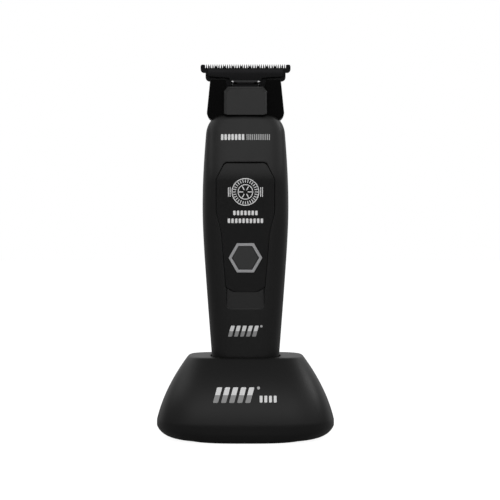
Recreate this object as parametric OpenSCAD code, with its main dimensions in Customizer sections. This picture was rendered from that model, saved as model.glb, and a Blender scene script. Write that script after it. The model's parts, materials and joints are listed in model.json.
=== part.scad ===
// Cordless hair trimmer with a T blade, standing in its charging stand.
// Millimetres. Z is up, -Y is the front (the side with the button), X runs along the blade.
// The origin is the centre of the stand's footprint, on the surface that it stands on.

/* [Handle] */
// Length of the handle from its tail to the top of its shoulders
handle_l = 138.2; // [120:0.2:170]
// Width of the handle at its widest
handle_w = 40.2; // [33:0.1:48]
// Depth of the handle in front of the axis
front_d = 16.4; // [14.4:0.1:20]
// Depth of the handle behind the axis
rear_d = 16.6; // [14.4:0.1:20]
// Wall thickness of both housing halves
wall = 2; // [1.6:0.1:2.4]
// Squareness of the handle's cross-section
section_power = 3.4; // [2.6:0.1:4]

/* [Control panel] */
// Distance from the shoulder top down to the panel's top edge
panel_drop = 22.7; // [20:0.1:28]
// Length of the panel
panel_l = 59; // [50:0.5:64]
// Width of the panel at its widest
panel_w = 26.6; // [22:0.1:28]
// Thickness of the panel
panel_t = 1; // [0.8:0.1:1.2]
// Depth of the panel's face below the handle's crest
panel_sink = 1.2; // [0.8:0.1:1.4]
// Length of the thumb ramp below the panel
ramp_l = 8; // [6:0.1:10]
// Distance from the shoulder top down to the button
button_drop = 66.2; // [64:0.1:68]
// Width of the hexagonal button ring across its corners
button_ring_w = 15.5; // [13:0.1:17]
// Width of the ring's band
button_band = 1.5; // [1:0.1:2]
// Travel of the button
button_travel = 0.8; // [0.4:0.1:1]

/* [Blades] */
// Width of the fixed blade over its end guards
blade_w = 42.6; // [38:0.2:46]
// Height of the tooth tips above the handle's shoulders
tip_h = 25.3; // [24:0.1:28]
// Thickness of the fixed blade
fixed_blade_t = 2; // [1.6:0.1:2.4]
// Thickness of the moving blade
moving_blade_t = 1.5; // [1.2:0.1:1.8]
// Tooth pitch of the fixed blade
fixed_pitch = 1; // [0.9:0.05:1.3]
// Tooth pitch of the moving blade
moving_pitch = 1.333; // [1.2:0.001:1.6]
// Distance that the moving blade goes to each side
blade_travel = 1; // [0.6:0.05:1.2]
// Diameter of the tension spring's wire
spring_wire = 1.2; // [0.8:0.1:1.3]

/* [Head] */
// Height of the blade carrier above the handle's shoulders
carrier_h = 17.2; // [16:0.1:18]
// Width of the carrier at its widest, just above the shoulders
carrier_w = 36.2; // [34:0.1:38]
// Width of the carrier at its top
carrier_top_w = 32.9; // [31:0.1:34]
// Width of the drive cover
cover_w = 20; // [18:0.1:22]
// Height of the drive cover
cover_h = 13.2; // [12:0.1:14]
// Depth of the drive cover in front of the carrier
cover_d = 5.6; // [4.6:0.1:7]

/* [Drive] */
// Diameter of the motor case
motor_d = 16.4; // [14:0.1:18]
// Length of the motor case
motor_l = 28; // [22:0.5:32]
// Diameter of the motor shaft
shaft_d = 2; // [1.8:0.1:2.4]
// Diameter of the crank's roller
roller_d = 3; // [2.6:0.1:3.2]
// Distance from the lever's pivot down to the crank
crank_arm = 7; // [6.5:0.1:8]
// Distance from the lever's pivot up to its nose
nose_arm = 10; // [9:0.1:11]
// Diameter of the lever's pivot pin
pivot_d = 3; // [2.4:0.1:3.4]

/* [Battery] */
// Diameter of the cell
cell_d = 14.2; // [13:0.1:15]
// Length of the cell
cell_l = 50; // [40:0.5:52]

/* [Stand] */
// Width of the stand at its widest
stand_w = 83.2; // [74:0.2:100]
// Depth of the stand at its widest
stand_d = 69; // [60:0.2:84]
// Height of the stand
stand_h = 37.4; // [31:0.2:45]
// Width of the stand's flat top
stand_top_w = 53.4; // [46:0.2:58]
// Depth of the stand's flat top
stand_top_d = 36.4; // [35.6:0.2:42]
// Wall thickness of the stand's shell
stand_wall = 2.2; // [1.8:0.1:2.6]
// Height at which the docked handle's tail rests
dock_z = 11; // [11:0.1:13]
// Spacing of the two charging pins
pin_spacing = 8; // [6:0.1:10]
// Diameter of a charging pin's tip
pin_d = 1.4; // [1:0.1:1.6]
// Travel of a charging pin
pin_travel = 1; // [0.6:0.1:1.2]

/* [Fits] */
// Gap between two parts that are assembled with room
clear = 0.15; // [0.1:0.01:0.2]
// Radial gap of a running shaft or pin
run = 0.05; // [0.02:0.01:0.08]
// Gap around the handle in the stand's well
well_gap = 0.5; // [0.4:0.05:0.8]

/* [Hidden] */
$fn = 48;

// Levels of the handle
tail_z = dock_z;
crest_z = tail_z + handle_l;
swell_z = crest_z - 42.2;           // where the handle is widest
bend_z = crest_z - 31.2;            // where the front starts to lean back
belly_z = crest_z - 93.2;           // below this the front tapers to the tail
back_z = crest_z - 49.2;            // where the rear is fullest
shoulder_r = 8.2;                   // height of the rounded shoulders
shoulder_z = crest_z - shoulder_r;
shoulder_in = 5.4;                  // how far the shoulders come in
lip_r = wall + 0.6;                 // height of the rounding at the front's upper edge
lip_in = 1.6;                       // how far that edge comes in
tail_r = 1.2;                       // rounding of the tail's edge
split_y = 1;                        // parting plane of the two housing halves
front_skin = panel_sink + panel_t + 1;
arc_n = 40;                         // points round one cross-section

// Levels of the head
carrier_z = crest_z - 2;            // lower edge of the carrier, behind the front lip
carrier_top_z = crest_z + carrier_h;
tip_z = crest_z + tip_h;
pivot_z = crest_z + 1.3;
crank_z = pivot_z - crank_arm;
nose_z = pivot_z + nose_arm;
bridge_top_z = pivot_z + 3;
cover_z = crest_z + 0.1;
carrier_front_y = -5;
carrier_back_y = 4.55;
moving_y = carrier_back_y - 0.05 - moving_blade_t;   // front face of the moving blade
fixed_y = carrier_back_y + 0.05 - 0.05;              // front face of the fixed blade
channel_w = 18.6;                   // width of the channel for the moving blade's tang
lever_room_w = 14;                  // width of the opening for the lever's fork
blade_screw_x = 12.6;
blade_screw_drop = 8.1;             // from the carrier's top down to the blade screws

// Lever and crank
throw = blade_travel * crank_arm / nose_arm;
swing = asin(throw / crank_arm);
roller_r = roller_d / 2;
fork_gap = 2 * (roller_r + throw + (crank_arm + 1.6) * sin(swing) + clear);
lever_front_y = -3;
lever_back_y = 0.9;
nose_r = 1.25;

// Screws
screw_r = 1;
head_r = 1.9;

// Motor
motor_top_z = crank_z - 9.5;
motor_z = motor_top_z - motor_l;
motor_r = motor_d / 2;
mount_t = 1.5;
mount_top_z = motor_top_z + mount_t;
leg_x = motor_r + head_r + 0.2;      // centre of the carrier's legs, so that their screws clear the motor

// Chassis and battery
chassis_y = 9.5;
chassis_t = 1.5;
chassis_half = min(8, 0.675 * (half_w(tail_z + 4) - wall));   // stays inside the narrow tail
cell_y = chassis_y - 0.1 - cell_d / 2;
cell_z = tail_z + 7;

// Controls
button_z = crest_z - button_drop;
panel_face_y = -(front_d - panel_sink);
panel_back_y = panel_face_y + panel_t;
floor_back_y = -(front_d - front_skin);
panel_top_z = crest_z - panel_drop;
panel_z = panel_top_z - panel_l;
ramp_z = panel_z - ramp_l;
ring_r = button_ring_w / 2;
ring_hole_r = ring_r - button_band;
button_r = ring_hole_r - 0.15;
board_y = floor_back_y + 4.8;       // front face of the control board
board_t = 1.2;
switch_h = 2;
plunger_r = 1.5;
flange_y = floor_back_y + 0.05;
flange_t = 0.95;

// Screws: where the two halves are joined
housing_screw_low = [max(11, cell_d / 2 + 2.9), tail_z + 37];
housing_screw_high = [13.4, crest_z - 22];

// Stand
base_z = 0.9;                       // lower edge of the stand's shell
wide_z = 5.8;                       // where the taper of the stand's sides begins
roll_z = 8.1;                       // where its sides begin to roll under
well_floor_z = tail_z - 0.05;
well_floor_t = 1.55;
base_plate_t = 2.1;
board_z = base_z + base_plate_t + 0.6;
stand_board_t = 1.2;
block_z = board_z + stand_board_t;
block_top_z = well_floor_z - well_floor_t;
pin_tip_z = tail_z + 0.55;
pin_flange_r = pin_d / 2 + 0.45;
stand_screw_x = stand_w / 2 - 22;
stand_screw_y = stand_d / 2 - 18;
usb_w = 8.94;
usb_h = 3.26;
usb_l = 7.3;
usb_z = block_z;

// ---- Helpers ----

// A slope with a soft start: 0 at t = 0, and k per unit far from it
function drop(t, k, c) = sqrt(c * c + k * k * t * t) - c;
function unit(v) = v / norm(v);
function mirrored(half) = concat(half, [for (i = [len(half) - 1:-1:0]) [-half[i][0], half[i][1], half[i][2]]]);
function levels(a, b, n) = [for (i = [0:n]) a + (b - a) * i / n];

// A polygon from corners [x, y, radius], each rounded with an arc
function rounded(corners, steps = 5) = [
    for (i = [0:len(corners) - 1])
        let (n = len(corners),
             p = [corners[i][0], corners[i][1]],
             a = [corners[(i + n - 1) % n][0], corners[(i + n - 1) % n][1]],
             b = [corners[(i + 1) % n][0], corners[(i + 1) % n][1]],
             u = unit(a - p),
             v = unit(b - p),
             r = corners[i][2],
             corner = acos(max(-1, min(1, u * v))))
        each r <= 0 || corner > 179 ? [p] :
            let (c = p + unit(u + v) * r / sin(corner / 2),
                 t1 = p + u * r / tan(corner / 2) - c,
                 t2 = p + v * r / tan(corner / 2) - c,
                 turn = 180 - corner)
            [for (k = [0:steps]) c + (t1 * sin(turn * (1 - k / steps)) + t2 * sin(turn * k / steps)) / sin(turn)]];

// One point of a squared ellipse, at angle a
function squared(a, power) = [sign(cos(a)) * pow(abs(cos(a)), 2 / power),
                              sign(sin(a)) * pow(abs(sin(a)), 2 / power)];

// A solid skinned over rings of points, lowest ring first
module loft(rings) {
    n = len(rings[0]);
    m = len(rings);
    faces = concat(
        [[for (i = [0:n - 1]) i]],
        [for (j = [0:m - 2], i = [0:n - 1])
            let (a = j * n + i, b = j * n + (i + 1) % n) each [[a, a + n, b + n], [a, b + n, b]]],
        [[for (i = [n - 1:-1:0]) (m - 1) * n + i]]);
    polyhedron(points = [for (r = rings) each r], faces = faces, convexity = 6);
}

// A flat outline in X and Z, drawn from y0 to y1
module along_y(y0, y1) translate([0, y1, 0]) rotate([90, 0, 0]) linear_extrude(y1 - y0) children();
// A flat outline in Y and Z, drawn from x0 to x1
module along_x(x0, x1) translate([x0, 0, 0]) rotate([90, 0, 90]) linear_extrude(x1 - x0) children();
module rod_y(r, y0, y1) translate([0, y1, 0]) rotate([90, 0, 0]) cylinder(r = r, h = y1 - y0);
module both_sides() {
    children();
    mirror([1, 0, 0]) children();
}
module hexagon(r, y0, y1) along_y(y0, y1) circle(r = r, $fn = 6);
module box(low, high) translate(low) cube(high - low);

// ---- Shape of the handle ----

function shoulder(z, inset) = let (u = max(0, min(1, (z - shoulder_z) / (shoulder_r - inset))))
    shoulder_in * (1 - sqrt(max(0, 1 - u * u)));
// The front's upper edge has a smaller rounding than the sides
function front_lip(z, inset) = let (u = max(0, min(1, (z - crest_z + lip_r) / (lip_r - inset))))
    lip_in * (1 - sqrt(max(0, 1 - u * u)));
function tail(z) = let (v = max(0, tail_z + tail_r - z)) tail_r - sqrt(max(0, tail_r * tail_r - v * v));
function half_w(z) = handle_w / 2 - drop(z - swell_z, z < swell_z ? 0.08 : 0.115, z < swell_z ? 1.385 : 4);
function front_at(z) = front_d - (z > bend_z ? drop(z - bend_z, 0.23, 1) : drop(max(0, belly_z - z), 0.05, 0.5));
function rear_at(z) = rear_d - (z > back_z ? drop(z - back_z, 0.13, 2) : drop(back_z - z, 0.025, 0.5));

// The handle's cross-section at height z, moved in by side, front and rear
function handle_ring(z, side, front, rear, cut) =
    let (s = shoulder(z, cut) + tail(z),
         w = half_w(z) - s - side,
         f = front_at(z) - front_lip(z, cut) - tail(z) - front,
         r = rear_at(z) - s - rear)
    [for (i = [0:arc_n - 1])
        let (p = squared(i * 360 / arc_n, section_power))
        [w * p[0], (p[1] < 0 ? f : r) * p[1], z]];

module handle_solid() loft([
    for (z = concat([tail_z, tail_z + 0.3, tail_z + tail_r],
                    levels(tail_z + 14, belly_z, 3),
                    levels(belly_z + 14, swell_z, 3),
                    levels(bend_z - 4, bend_z + 5, 4),
                    [bend_z + 12, bend_z + 18],
                    [for (a = [0:15:90]) shoulder_z + shoulder_r * sin(a)]))
        handle_ring(z, 0, 0, 0, 0)]);

module handle_cavity() loft([
    for (z = concat([tail_z - 1, tail_z + 20],
                    levels(belly_z, swell_z, 4),
                    [bend_z, bend_z + 4, panel_top_z + 1.5]))
        handle_ring(max(z, tail_z + tail_r), wall, front_skin, wall, wall) + (z < tail_z ? lowered(z) : 0 * lowered(z))]);

module upper_cavity() loft([
    for (z = concat([panel_top_z + 1.4, bend_z + 18],
                    [for (a = [0:22.5:90]) shoulder_z + (shoulder_r - wall) * sin(a)]))
        handle_ring(z, wall, wall, wall, wall)]);

function lowered(z) = [for (i = [0:arc_n - 1]) [0, 0, z - tail_z - tail_r]];

// ---- Housing ----

// Outline of the panel, and of the pocket that it lies in when grown by gap
function panel_outline(gap) = rounded(mirrored([
    [panel_w / 2 - 3.9 + gap, panel_top_z + gap, 2.4],
    [panel_w / 2 + gap, panel_top_z - 7.4, 3],
    [panel_w / 2 + gap, panel_top_z - 22.6, 8],
    [panel_w / 2 - 2.3 + gap, panel_top_z - 32, 12],
    [panel_w / 2 - 4.4 + gap, panel_z + 1.7 - gap, 0.9],
    [panel_w / 2 - 8, panel_z - gap, 4]]));

// The panel follows the front's slope: y of its face at height z
function face_y(z, depth) = -(front_at(z) - depth);
function face_band(d0, d1, z0, z1) = concat(
    [for (z = levels(z0, z1, 12)) [face_y(z, d0), z]],
    [for (z = levels(z1, z0, 12)) [face_y(z, d1), z]]);

module panel_pocket() {
    intersection() {
        along_y(-front_d - 1, 0) polygon(panel_outline(clear));
        along_x(-panel_w, panel_w) polygon(face_band(-2, panel_sink + panel_t, panel_z - 1, panel_top_z + 1));
    }
    intersection() {
        along_y(-front_d - 1, 0) polygon(rounded(mirrored([
            [panel_w / 2 - 4.5, panel_z + 2, 0], [panel_w / 2 - 4.65, ramp_z, 2.2]])));
        along_x(-panel_w, panel_w) polygon([
            [face_y(panel_z, panel_sink + panel_t), panel_z + 2],
            [face_y(panel_z, panel_sink + panel_t), panel_z],
            [face_y(ramp_z, 0.35), ramp_z - 0.1],
            [face_y(ramp_z, 0) - 2, ramp_z - 0.1],
            [face_y(ramp_z, 0) - 2, panel_z + 2]]);
    }
}

// The opening in the shoulders that the head comes through
module head_opening() along_y(carrier_front_y - clear, carrier_back_y + fixed_blade_t + clear) {
    polygon(carrier_outline(-clear));
    translate([-leg_x - 3 - clear, shoulder_z - 1]) square([2 * (leg_x + 3 + clear), carrier_z - shoulder_z + 3]);
}

module screw_places() {
    both_sides() {
        translate([housing_screw_low[0], 0, housing_screw_low[1]]) children();
        translate([housing_screw_high[0], 0, housing_screw_high[1]]) children();
    }
}

module front_housing() color([0.03, 0.03, 0.032]) difference() {
    intersection() {
        handle_solid();
        box([-handle_w, -front_d - 1, tail_z - 1], [handle_w, split_y, crest_z + 1]);
    }
    difference() {
        union() {
            handle_cavity();
            upper_cavity();
        }
        screw_places() rod_y(2.2, -front_d, split_y + 1);
    }
    head_opening();
    panel_pocket();
    hexagon_hole();
    screw_places() rod_y(screw_r - 0.2, split_y - 8, split_y + 1);
}

// Way for the button through the front, and a flat seat for its flange on the inside
module hexagon_hole() translate([0, 0, button_z]) {
    hexagon(button_r + 0.2, -front_d, floor_back_y + 1);
    hexagon(button_r + 1.6, floor_back_y, floor_back_y + 3);
}

module rear_housing() color([0.03, 0.03, 0.032]) difference() {
    intersection() {
        handle_solid();
        box([-handle_w, split_y, tail_z - 1], [handle_w, rear_d + 1, crest_z + 1]);
    }
    difference() {
        union() {
            handle_cavity();
            upper_cavity();
        }
        screw_places() rod_y(2.7, split_y - 1, rear_d);
    }
    head_opening();
    screw_places() {
        rod_y(screw_r + clear, split_y - 1, rear_d);
        rod_y(head_r + clear, split_y + 5.5, rear_d);
    }
}

module housing_screws() color([0.55, 0.55, 0.57]) screw_places() difference() {
    union() {
        rod_y(screw_r - 0.2, split_y - 6.5, split_y + 0.1);
        rod_y(screw_r, split_y + 0.1, split_y + 5.5);
        rod_y(head_r, split_y + 5.5, split_y + 7);
    }
    hexagon(0.75, split_y + 6.2, split_y + 8);
}

module tail_cap() color([0.05, 0.05, 0.052]) difference() {
    translate([0, 0, tail_z]) linear_extrude(3) polygon([
        for (p = handle_ring(tail_z + tail_r, wall + clear, front_skin + clear, wall + clear, 0)) [p[0], p[1]]]);
    contact_places() translate([0, 0, tail_z - 1]) cylinder(r = 2.2, h = 1.6);
    contact_places() translate([0, 0, tail_z]) cylinder(r = 1, h = 4);
}

module contact_places() both_sides() translate([pin_spacing / 2, 0, 0]) children();

module charge_contacts() color([0.85, 0.68, 0.3]) contact_places() {
    translate([0, 0, tail_z + 0.6]) cylinder(r = 1, h = 3.4);
}

// ---- Controls ----

module control_panel() color([0.012, 0.012, 0.014]) difference() {
    intersection() {
        along_y(-front_d, 0) polygon(panel_outline(0));
        along_x(-panel_w, panel_w) polygon(face_band(panel_sink, panel_sink + panel_t, panel_z - 1, panel_top_z + 1));
    }
    translate([0, 0, button_z]) hexagon(ring_r - 0.65, -front_d, 0);
}

module button_ring() color([0.62, 0.62, 0.64]) translate([0, 0, button_z]) difference() {
    union() {
        hexagon(ring_r, panel_face_y - 0.4, panel_face_y);
        hexagon(ring_r - 0.75, panel_face_y, panel_back_y);
    }
    hexagon(ring_hole_r, panel_face_y - 1, panel_back_y + 1);
}

module power_button() color([0.1, 0.1, 0.105]) translate([0, 0, button_z]) {
    hexagon(button_r, panel_face_y - 0.3, flange_y);
    hexagon(button_r + 1.2, flange_y, flange_y + flange_t);
}

module switch_plunger() color([0.7, 0.7, 0.68]) translate([0, 0, button_z])
    rod_y(plunger_r, flange_y + flange_t, board_y - switch_h + 0.8);

module tactile_switch() color([0.15, 0.15, 0.16]) translate([0, 0, button_z]) difference() {
    box([-3, board_y - switch_h, -3], [3, board_y, 3]);
    rod_y(plunger_r + run, board_y - switch_h - 1, board_y - 0.3);
}

board_low_z = button_z - 13;
board_high_z = button_z + 20;
module control_board() color([0.02, 0.16, 0.07]) difference() {
    box([-9, board_y, board_low_z], [9, board_y + board_t, board_high_z]);
    board_screw_places() rod_y(screw_r + clear, board_y - 1, board_y + board_t + 1);
}

module board_screw_places() both_sides() translate([6.6, 0, board_high_z - 3]) children();

module board_chips() color([0.06, 0.06, 0.065]) {
    box([-3, board_y - 1, button_z + 8], [3, board_y, button_z + 14]);
    both_sides() box([5, board_y - 0.8, button_z + 6], [7.5, board_y, button_z + 9]);
    both_sides() box([4.6, board_y - 1.2, button_z - 11], [7.8, board_y, button_z - 8]);
}

// Screws that hold the board on the two posts of the chassis
module board_screws() color([0.6, 0.6, 0.62]) board_screw_places() {
    rod_y(screw_r, board_y, board_y + board_t + 4);
    rod_y(head_r, board_y - 1, board_y);
}

// ---- Frame, battery and motor ----

module chassis() color([0.16, 0.16, 0.17]) difference() {
    union() {
        box([-chassis_half, chassis_y, tail_z + 4], [chassis_half, chassis_y + chassis_t, motor_top_z]);
        for (z = [cell_z - 2, cell_z + cell_l + 0.5])
            box([-chassis_half, cell_y - 4, z], [chassis_half, chassis_y, z + 1.5]);
        for (z = [motor_z + 3, motor_top_z - 6])
            box([-9, 3, z], [9, chassis_y, z + 2]);
        board_screw_places() rod_y(2.3, board_y + board_t, chassis_y);
    }
    translate([0, 0, motor_z - 1]) cylinder(r = motor_r + run, h = motor_l + 2);
    board_screw_places() rod_y(screw_r, board_y, board_y + board_t + 5);
}

module battery_cell() color([0.12, 0.24, 0.42]) translate([0, cell_y, cell_z]) {
    cylinder(d = cell_d, h = cell_l - 0.8);
    translate([0, 0, cell_l - 0.8]) cylinder(d = cell_d * 0.4, h = 0.8);
}

// Nickel tabs between the cell's ends and the chassis, with a tongue to the front for the wires
module battery_tabs() color([0.75, 0.75, 0.76]) for (z = [cell_z - 0.5, cell_z + cell_l]) {
    box([-3, cell_y - 3, z], [3, cell_y + 3, z + 0.5]);
    box([-1.2, cell_y - cell_d / 2 - 2, z], [1.2, cell_y, z + 0.5]);
}

module motor_case() color([0.32, 0.33, 0.35]) difference() {
    union() {
        translate([0, 0, motor_z]) cylinder(r = motor_r, h = motor_l);
        translate([0, 0, motor_top_z]) cylinder(r = 3, h = mount_t);
    }
    translate([0, 0, motor_z + 1]) cylinder(r = motor_r - 0.8, h = motor_l - 3);
    translate([0, 0, motor_z - 1]) cylinder(r = 2, h = motor_l + 6);
    motor_screw_places() translate([0, 0, motor_top_z - 1.9]) cylinder(r = 0.7, h = 3);
}

module motor_screw_places() both_sides() translate([5.6, 0, 0]) children();

module stator_core() color([0.45, 0.45, 0.47]) difference() {
    translate([0, 0, motor_z + 6]) cylinder(r = motor_r - 0.8, h = motor_l - 13);
    translate([0, 0, motor_z]) cylinder(r = 5, h = motor_l);
    for (a = [0:60:300]) rotate(a) box([4, -0.9, motor_z], [motor_r - 2, 0.9, motor_top_z]);
}

module stator_coils() color([0.72, 0.4, 0.18]) for (a = [0:60:300]) rotate(a) {
    box([5.1, -0.8, motor_z + 4], [motor_r - 2.1, 0.8, motor_top_z - 5]);
}

module rotor_magnet() color([0.5, 0.5, 0.52]) difference() {
    translate([0, 0, motor_z + 6]) cylinder(r = 4.4, h = motor_l - 13);
    translate([0, 0, motor_z]) cylinder(d = shaft_d, h = motor_l);
}

module motor_shaft() color([0.78, 0.78, 0.8])
    translate([0, 0, motor_z + 0.6]) cylinder(d = shaft_d, h = motor_l + 4.2);

module bearing(z) color([0.66, 0.66, 0.68]) translate([0, 0, z]) difference() {
    cylinder(r = 2, h = 2.6);
    translate([0, 0, -1]) cylinder(r = shaft_d / 2 + run / 2, h = 6);
}
module lower_bearing() bearing(motor_z);
module upper_bearing() bearing(motor_top_z - 1.6);

module motor_mount() color([0.6, 0.6, 0.62]) difference() {
    union() {
        box([-leg_x - 2.4, -6.5, motor_top_z], [leg_x + 2.4, chassis_y - 1.5, mount_top_z]);
        box([-8, 0, motor_top_z], [8, chassis_y + chassis_t, mount_top_z]);
    }
    translate([0, 0, motor_z]) cylinder(r = 3 + clear, h = motor_l + 6);
    motor_screw_places() translate([0, 0, motor_z]) cylinder(r = 0.85, h = motor_l + 6);
    leg_places() translate([0, 0, motor_z]) cylinder(r = screw_r + clear, h = motor_l + 6);
}

module leg_places() both_sides() translate([leg_x, 0, 0]) children();

module motor_screws() color([0.62, 0.62, 0.64]) motor_screw_places() {
    translate([0, 0, motor_top_z - 1.6]) cylinder(r = 0.7, h = 1.6 + mount_t);
    translate([0, 0, mount_top_z]) cylinder(r = 1.2, h = 0.8);
}

// ---- Drive: crank, lever and follower ----

module crank() color([0.7, 0.55, 0.25]) difference() {
    union() {
        translate([0, 0, mount_top_z + 0.7]) cylinder(r = 3, h = 2.6);
        translate([throw, 0, mount_top_z + 3.3]) cylinder(r = 1, h = crank_z + 3 - mount_top_z - 3.3);
    }
    translate([0, 0, motor_z]) cylinder(d = shaft_d, h = motor_l + 4.8);
}

module crank_roller() color([0.8, 0.8, 0.78]) translate([throw, 0, crank_z - 3]) difference() {
    cylinder(r = roller_r, h = 5.9);
    translate([0, 0, -1]) cylinder(r = 1 + run, h = 8);
}

module drive_lever() color([0.85, 0.84, 0.8]) difference() {
    union() {
        translate([0, 0, pivot_z]) rod_y(pivot_d / 2 + 2, lever_front_y, lever_back_y);
        translate([0, 0, nose_z]) rod_y(nose_r, lever_front_y, lever_back_y);
        box([-0.85, lever_front_y, pivot_z + 1], [0.85, lever_back_y, nose_z]);
        along_y(lever_front_y, lever_back_y) polygon(rounded(mirrored([
            [fork_gap / 2 + 1.6, pivot_z - 1.9, 1.5], [fork_gap / 2 + 1.6, crank_z - 1.5, 0.6],
            [fork_gap / 2, crank_z - 1.5, 0.4], [fork_gap / 2, pivot_z - 3.7, 1]])));
    }
    translate([0, 0, pivot_z]) rod_y(pivot_d / 2 + run, -front_d, front_d);
}

module lever_pin() color([0.74, 0.74, 0.76]) translate([0, 0, pivot_z])
    rod_y(pivot_d / 2, lever_front_y - 1.2, carrier_back_y - 0.3);

module pin_clip() color([0.5, 0.5, 0.52]) translate([0, 0, pivot_z]) difference() {
    rod_y(pivot_d / 2 + 1, lever_front_y - 0.8, lever_front_y - 0.1);
    rod_y(pivot_d / 2, -front_d, front_d);
}

module cutter_follower() color([0.88, 0.87, 0.83]) along_y(lever_front_y + 0.3, moving_y) difference() {
    polygon(rounded(mirrored([[4.2, nose_z - 3.4, 0.5], [4.2, nose_z + 1.9, 0.5]]), 3));
    polygon([[-nose_r - run, nose_z - 5], [nose_r + run, nose_z - 5],
             [nose_r + run, nose_z + 1.45], [-nose_r - run, nose_z + 1.45]]);
}

// ---- Head ----

function carrier_outline(inset) = rounded(mirrored([
    [carrier_top_w / 2 - inset, carrier_top_z - inset, 1],
    [carrier_w / 2 - inset, crest_z + 0.8, 2.5],
    [carrier_w / 2 - 1.6 - inset, carrier_z + inset, 3.4]]));

module blade_carrier() color([0.02, 0.02, 0.022]) difference() {
    union() {
        along_y(carrier_front_y, carrier_back_y) polygon(carrier_outline(0));
        leg_places() box([-3, -4, mount_top_z], [3, carrier_back_y - 0.5, carrier_z + 1]);
    }
    // Channel for the moving blade's tang, open at the top and in front
    box([-channel_w / 2, -front_d, bridge_top_z], [channel_w / 2, front_d, tip_z]);
    // Room for the lever in front of the bridge, and for the crank below it
    box([-lever_room_w / 2, -front_d, carrier_z - 2], [lever_room_w / 2, lever_back_y + 0.3, bridge_top_z + 1]);
    box([-lever_room_w / 2, -front_d, carrier_z - 2], [lever_room_w / 2, front_d, pivot_z - 2.4]);
    translate([0, 0, pivot_z]) rod_y(pivot_d / 2, -front_d, front_d);
    both_sides() translate([spring_x, spring_y, bridge_top_z - 3]) cylinder(d = spring_wire, h = 5);
    blade_screw_places() rod_y(screw_r - 0.02, carrier_back_y - 5, carrier_back_y + 1);
    leg_places() translate([0, 0, mount_top_z - 1]) cylinder(r = screw_r - 0.02, h = 7);
}

module blade_screw_places() both_sides()
    translate([blade_screw_x, 0, carrier_top_z - blade_screw_drop]) children();

module carrier_screws() color([0.6, 0.6, 0.62]) leg_places() {
    translate([0, 0, motor_top_z - 1.2]) cylinder(r = head_r, h = 1.2);
    translate([0, 0, motor_top_z]) cylinder(r = screw_r - 0.02, h = mount_t + 4.5);
}

// Hollow cover over the lever: a block with a leaning face and bevelled edges
module drive_cover() color([0.12, 0.12, 0.125]) difference() {
    intersection() {
        along_y(carrier_front_y - cover_d, carrier_front_y) polygon(cover_outline(0));
        along_x(-cover_w, cover_w) polygon([
            [carrier_front_y, cover_z], [carrier_front_y, cover_z + cover_h],
            [carrier_front_y - cover_d + 2.6, cover_z + cover_h],
            [carrier_front_y - cover_d, cover_z + 0.5], [carrier_front_y - cover_d + 0.4, cover_z]]);
        translate([0, 0, cover_z - 2]) linear_extrude(cover_h + 3) polygon(mirrored_plan(cover_w / 2));
    }
    along_y(carrier_front_y - cover_d + 3.8, carrier_front_y + 1) polygon(cover_outline(1.4));
}

function cover_outline(inset) = rounded(mirrored([
    [cover_w / 2 - inset, cover_z + inset, 0.6],
    [cover_w / 2 - inset, cover_z + cover_h - 2.2 - inset / 2, 0.8],
    [cover_w / 2 - 1.9 - inset / 2, cover_z + cover_h - inset, 0.8]]), 3);

function mirrored_plan(half) = [
    [-half, carrier_front_y + 1], [-half, carrier_front_y - cover_d + 2.6],
    [-half + 2, carrier_front_y - cover_d - 0.2], [half - 2, carrier_front_y - cover_d - 0.2],
    [half, carrier_front_y - cover_d + 2.6], [half, carrier_front_y + 1]];

spring_x = 6.2;
spring_y = moving_y - 0.05 - spring_wire / 2;
spring_top_z = carrier_top_z - 0.4;
spring_bend = 1.2;                  // radius of the wire's bends, at its middle
module tension_spring() color([0.6, 0.6, 0.62]) translate([0, spring_y, 0]) {
    r = spring_wire / 2;
    both_sides() {
        translate([spring_x, 0, bridge_top_z - 2.9]) cylinder(r = r, h = spring_top_z - spring_bend - bridge_top_z + 2.9);
        translate([spring_x - spring_bend, 0, spring_top_z - spring_bend]) rotate([90, 0, 0])
            rotate_extrude(angle = 90) translate([spring_bend, 0]) circle(r = r);
    }
    translate([spring_bend - spring_x, 0, spring_top_z]) rotate([0, 90, 0])
        cylinder(r = r, h = 2 * (spring_x - spring_bend));
}

// ---- Blades ----

ear_w = 2.2;                        // width of the end guards
tooth_l = 1.7;
shoulder_w = blade_w - 4.7;         // width below the end guards
root_z = tip_z - tooth_l;

// Outline of a blade: a toothed edge between -half and half, then the corners below it on the +X side
function toothed(half, pitch, root, tip, low) =
    let (n = floor(2 * half / pitch), start = -n * pitch / 2)
    rounded(concat(
        [for (i = [0:n - 1]) let (x = start + i * pitch)
            each [[x + pitch * 0.14, tip, 0], [x + pitch * 0.28, root, 0],
                  [x + pitch * 0.72, root, 0], [x + pitch * 0.86, tip, 0]]],
        mirrored(low)), 4);

module fixed_blade_outline() polygon(toothed(blade_w / 2 - ear_w, fixed_pitch, root_z, tip_z, [
    [blade_w / 2, tip_z, 0.8], [blade_w / 2, tip_z - 3.9, 1.6],
    [shoulder_w / 2, tip_z - 3.9, 0], [shoulder_w / 2, carrier_top_z + 0.2, 1.9],
    [carrier_top_w / 2 - 0.6, carrier_top_z + 0.2, 0.3],
    [carrier_w / 2 - 1.3, crest_z + 1, 2], [carrier_w / 2 - 3.4, carrier_z + 0.9, 2.6]]));

module fixed_blade() color([0.025, 0.025, 0.028]) difference() {
    along_y(fixed_y, fixed_y + fixed_blade_t) fixed_blade_outline();
    // Grind behind the teeth
    along_x(-blade_w, blade_w) polygon([[fixed_y + fixed_blade_t, tip_z - 6], [fixed_y + 0.4, tip_z + 0.01],
                                        [fixed_y + 4, tip_z + 0.01], [fixed_y + 4, tip_z - 6]]);
    blade_screw_places() rod_y(screw_r + 0.3, fixed_y - 1, front_d);
}

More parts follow.
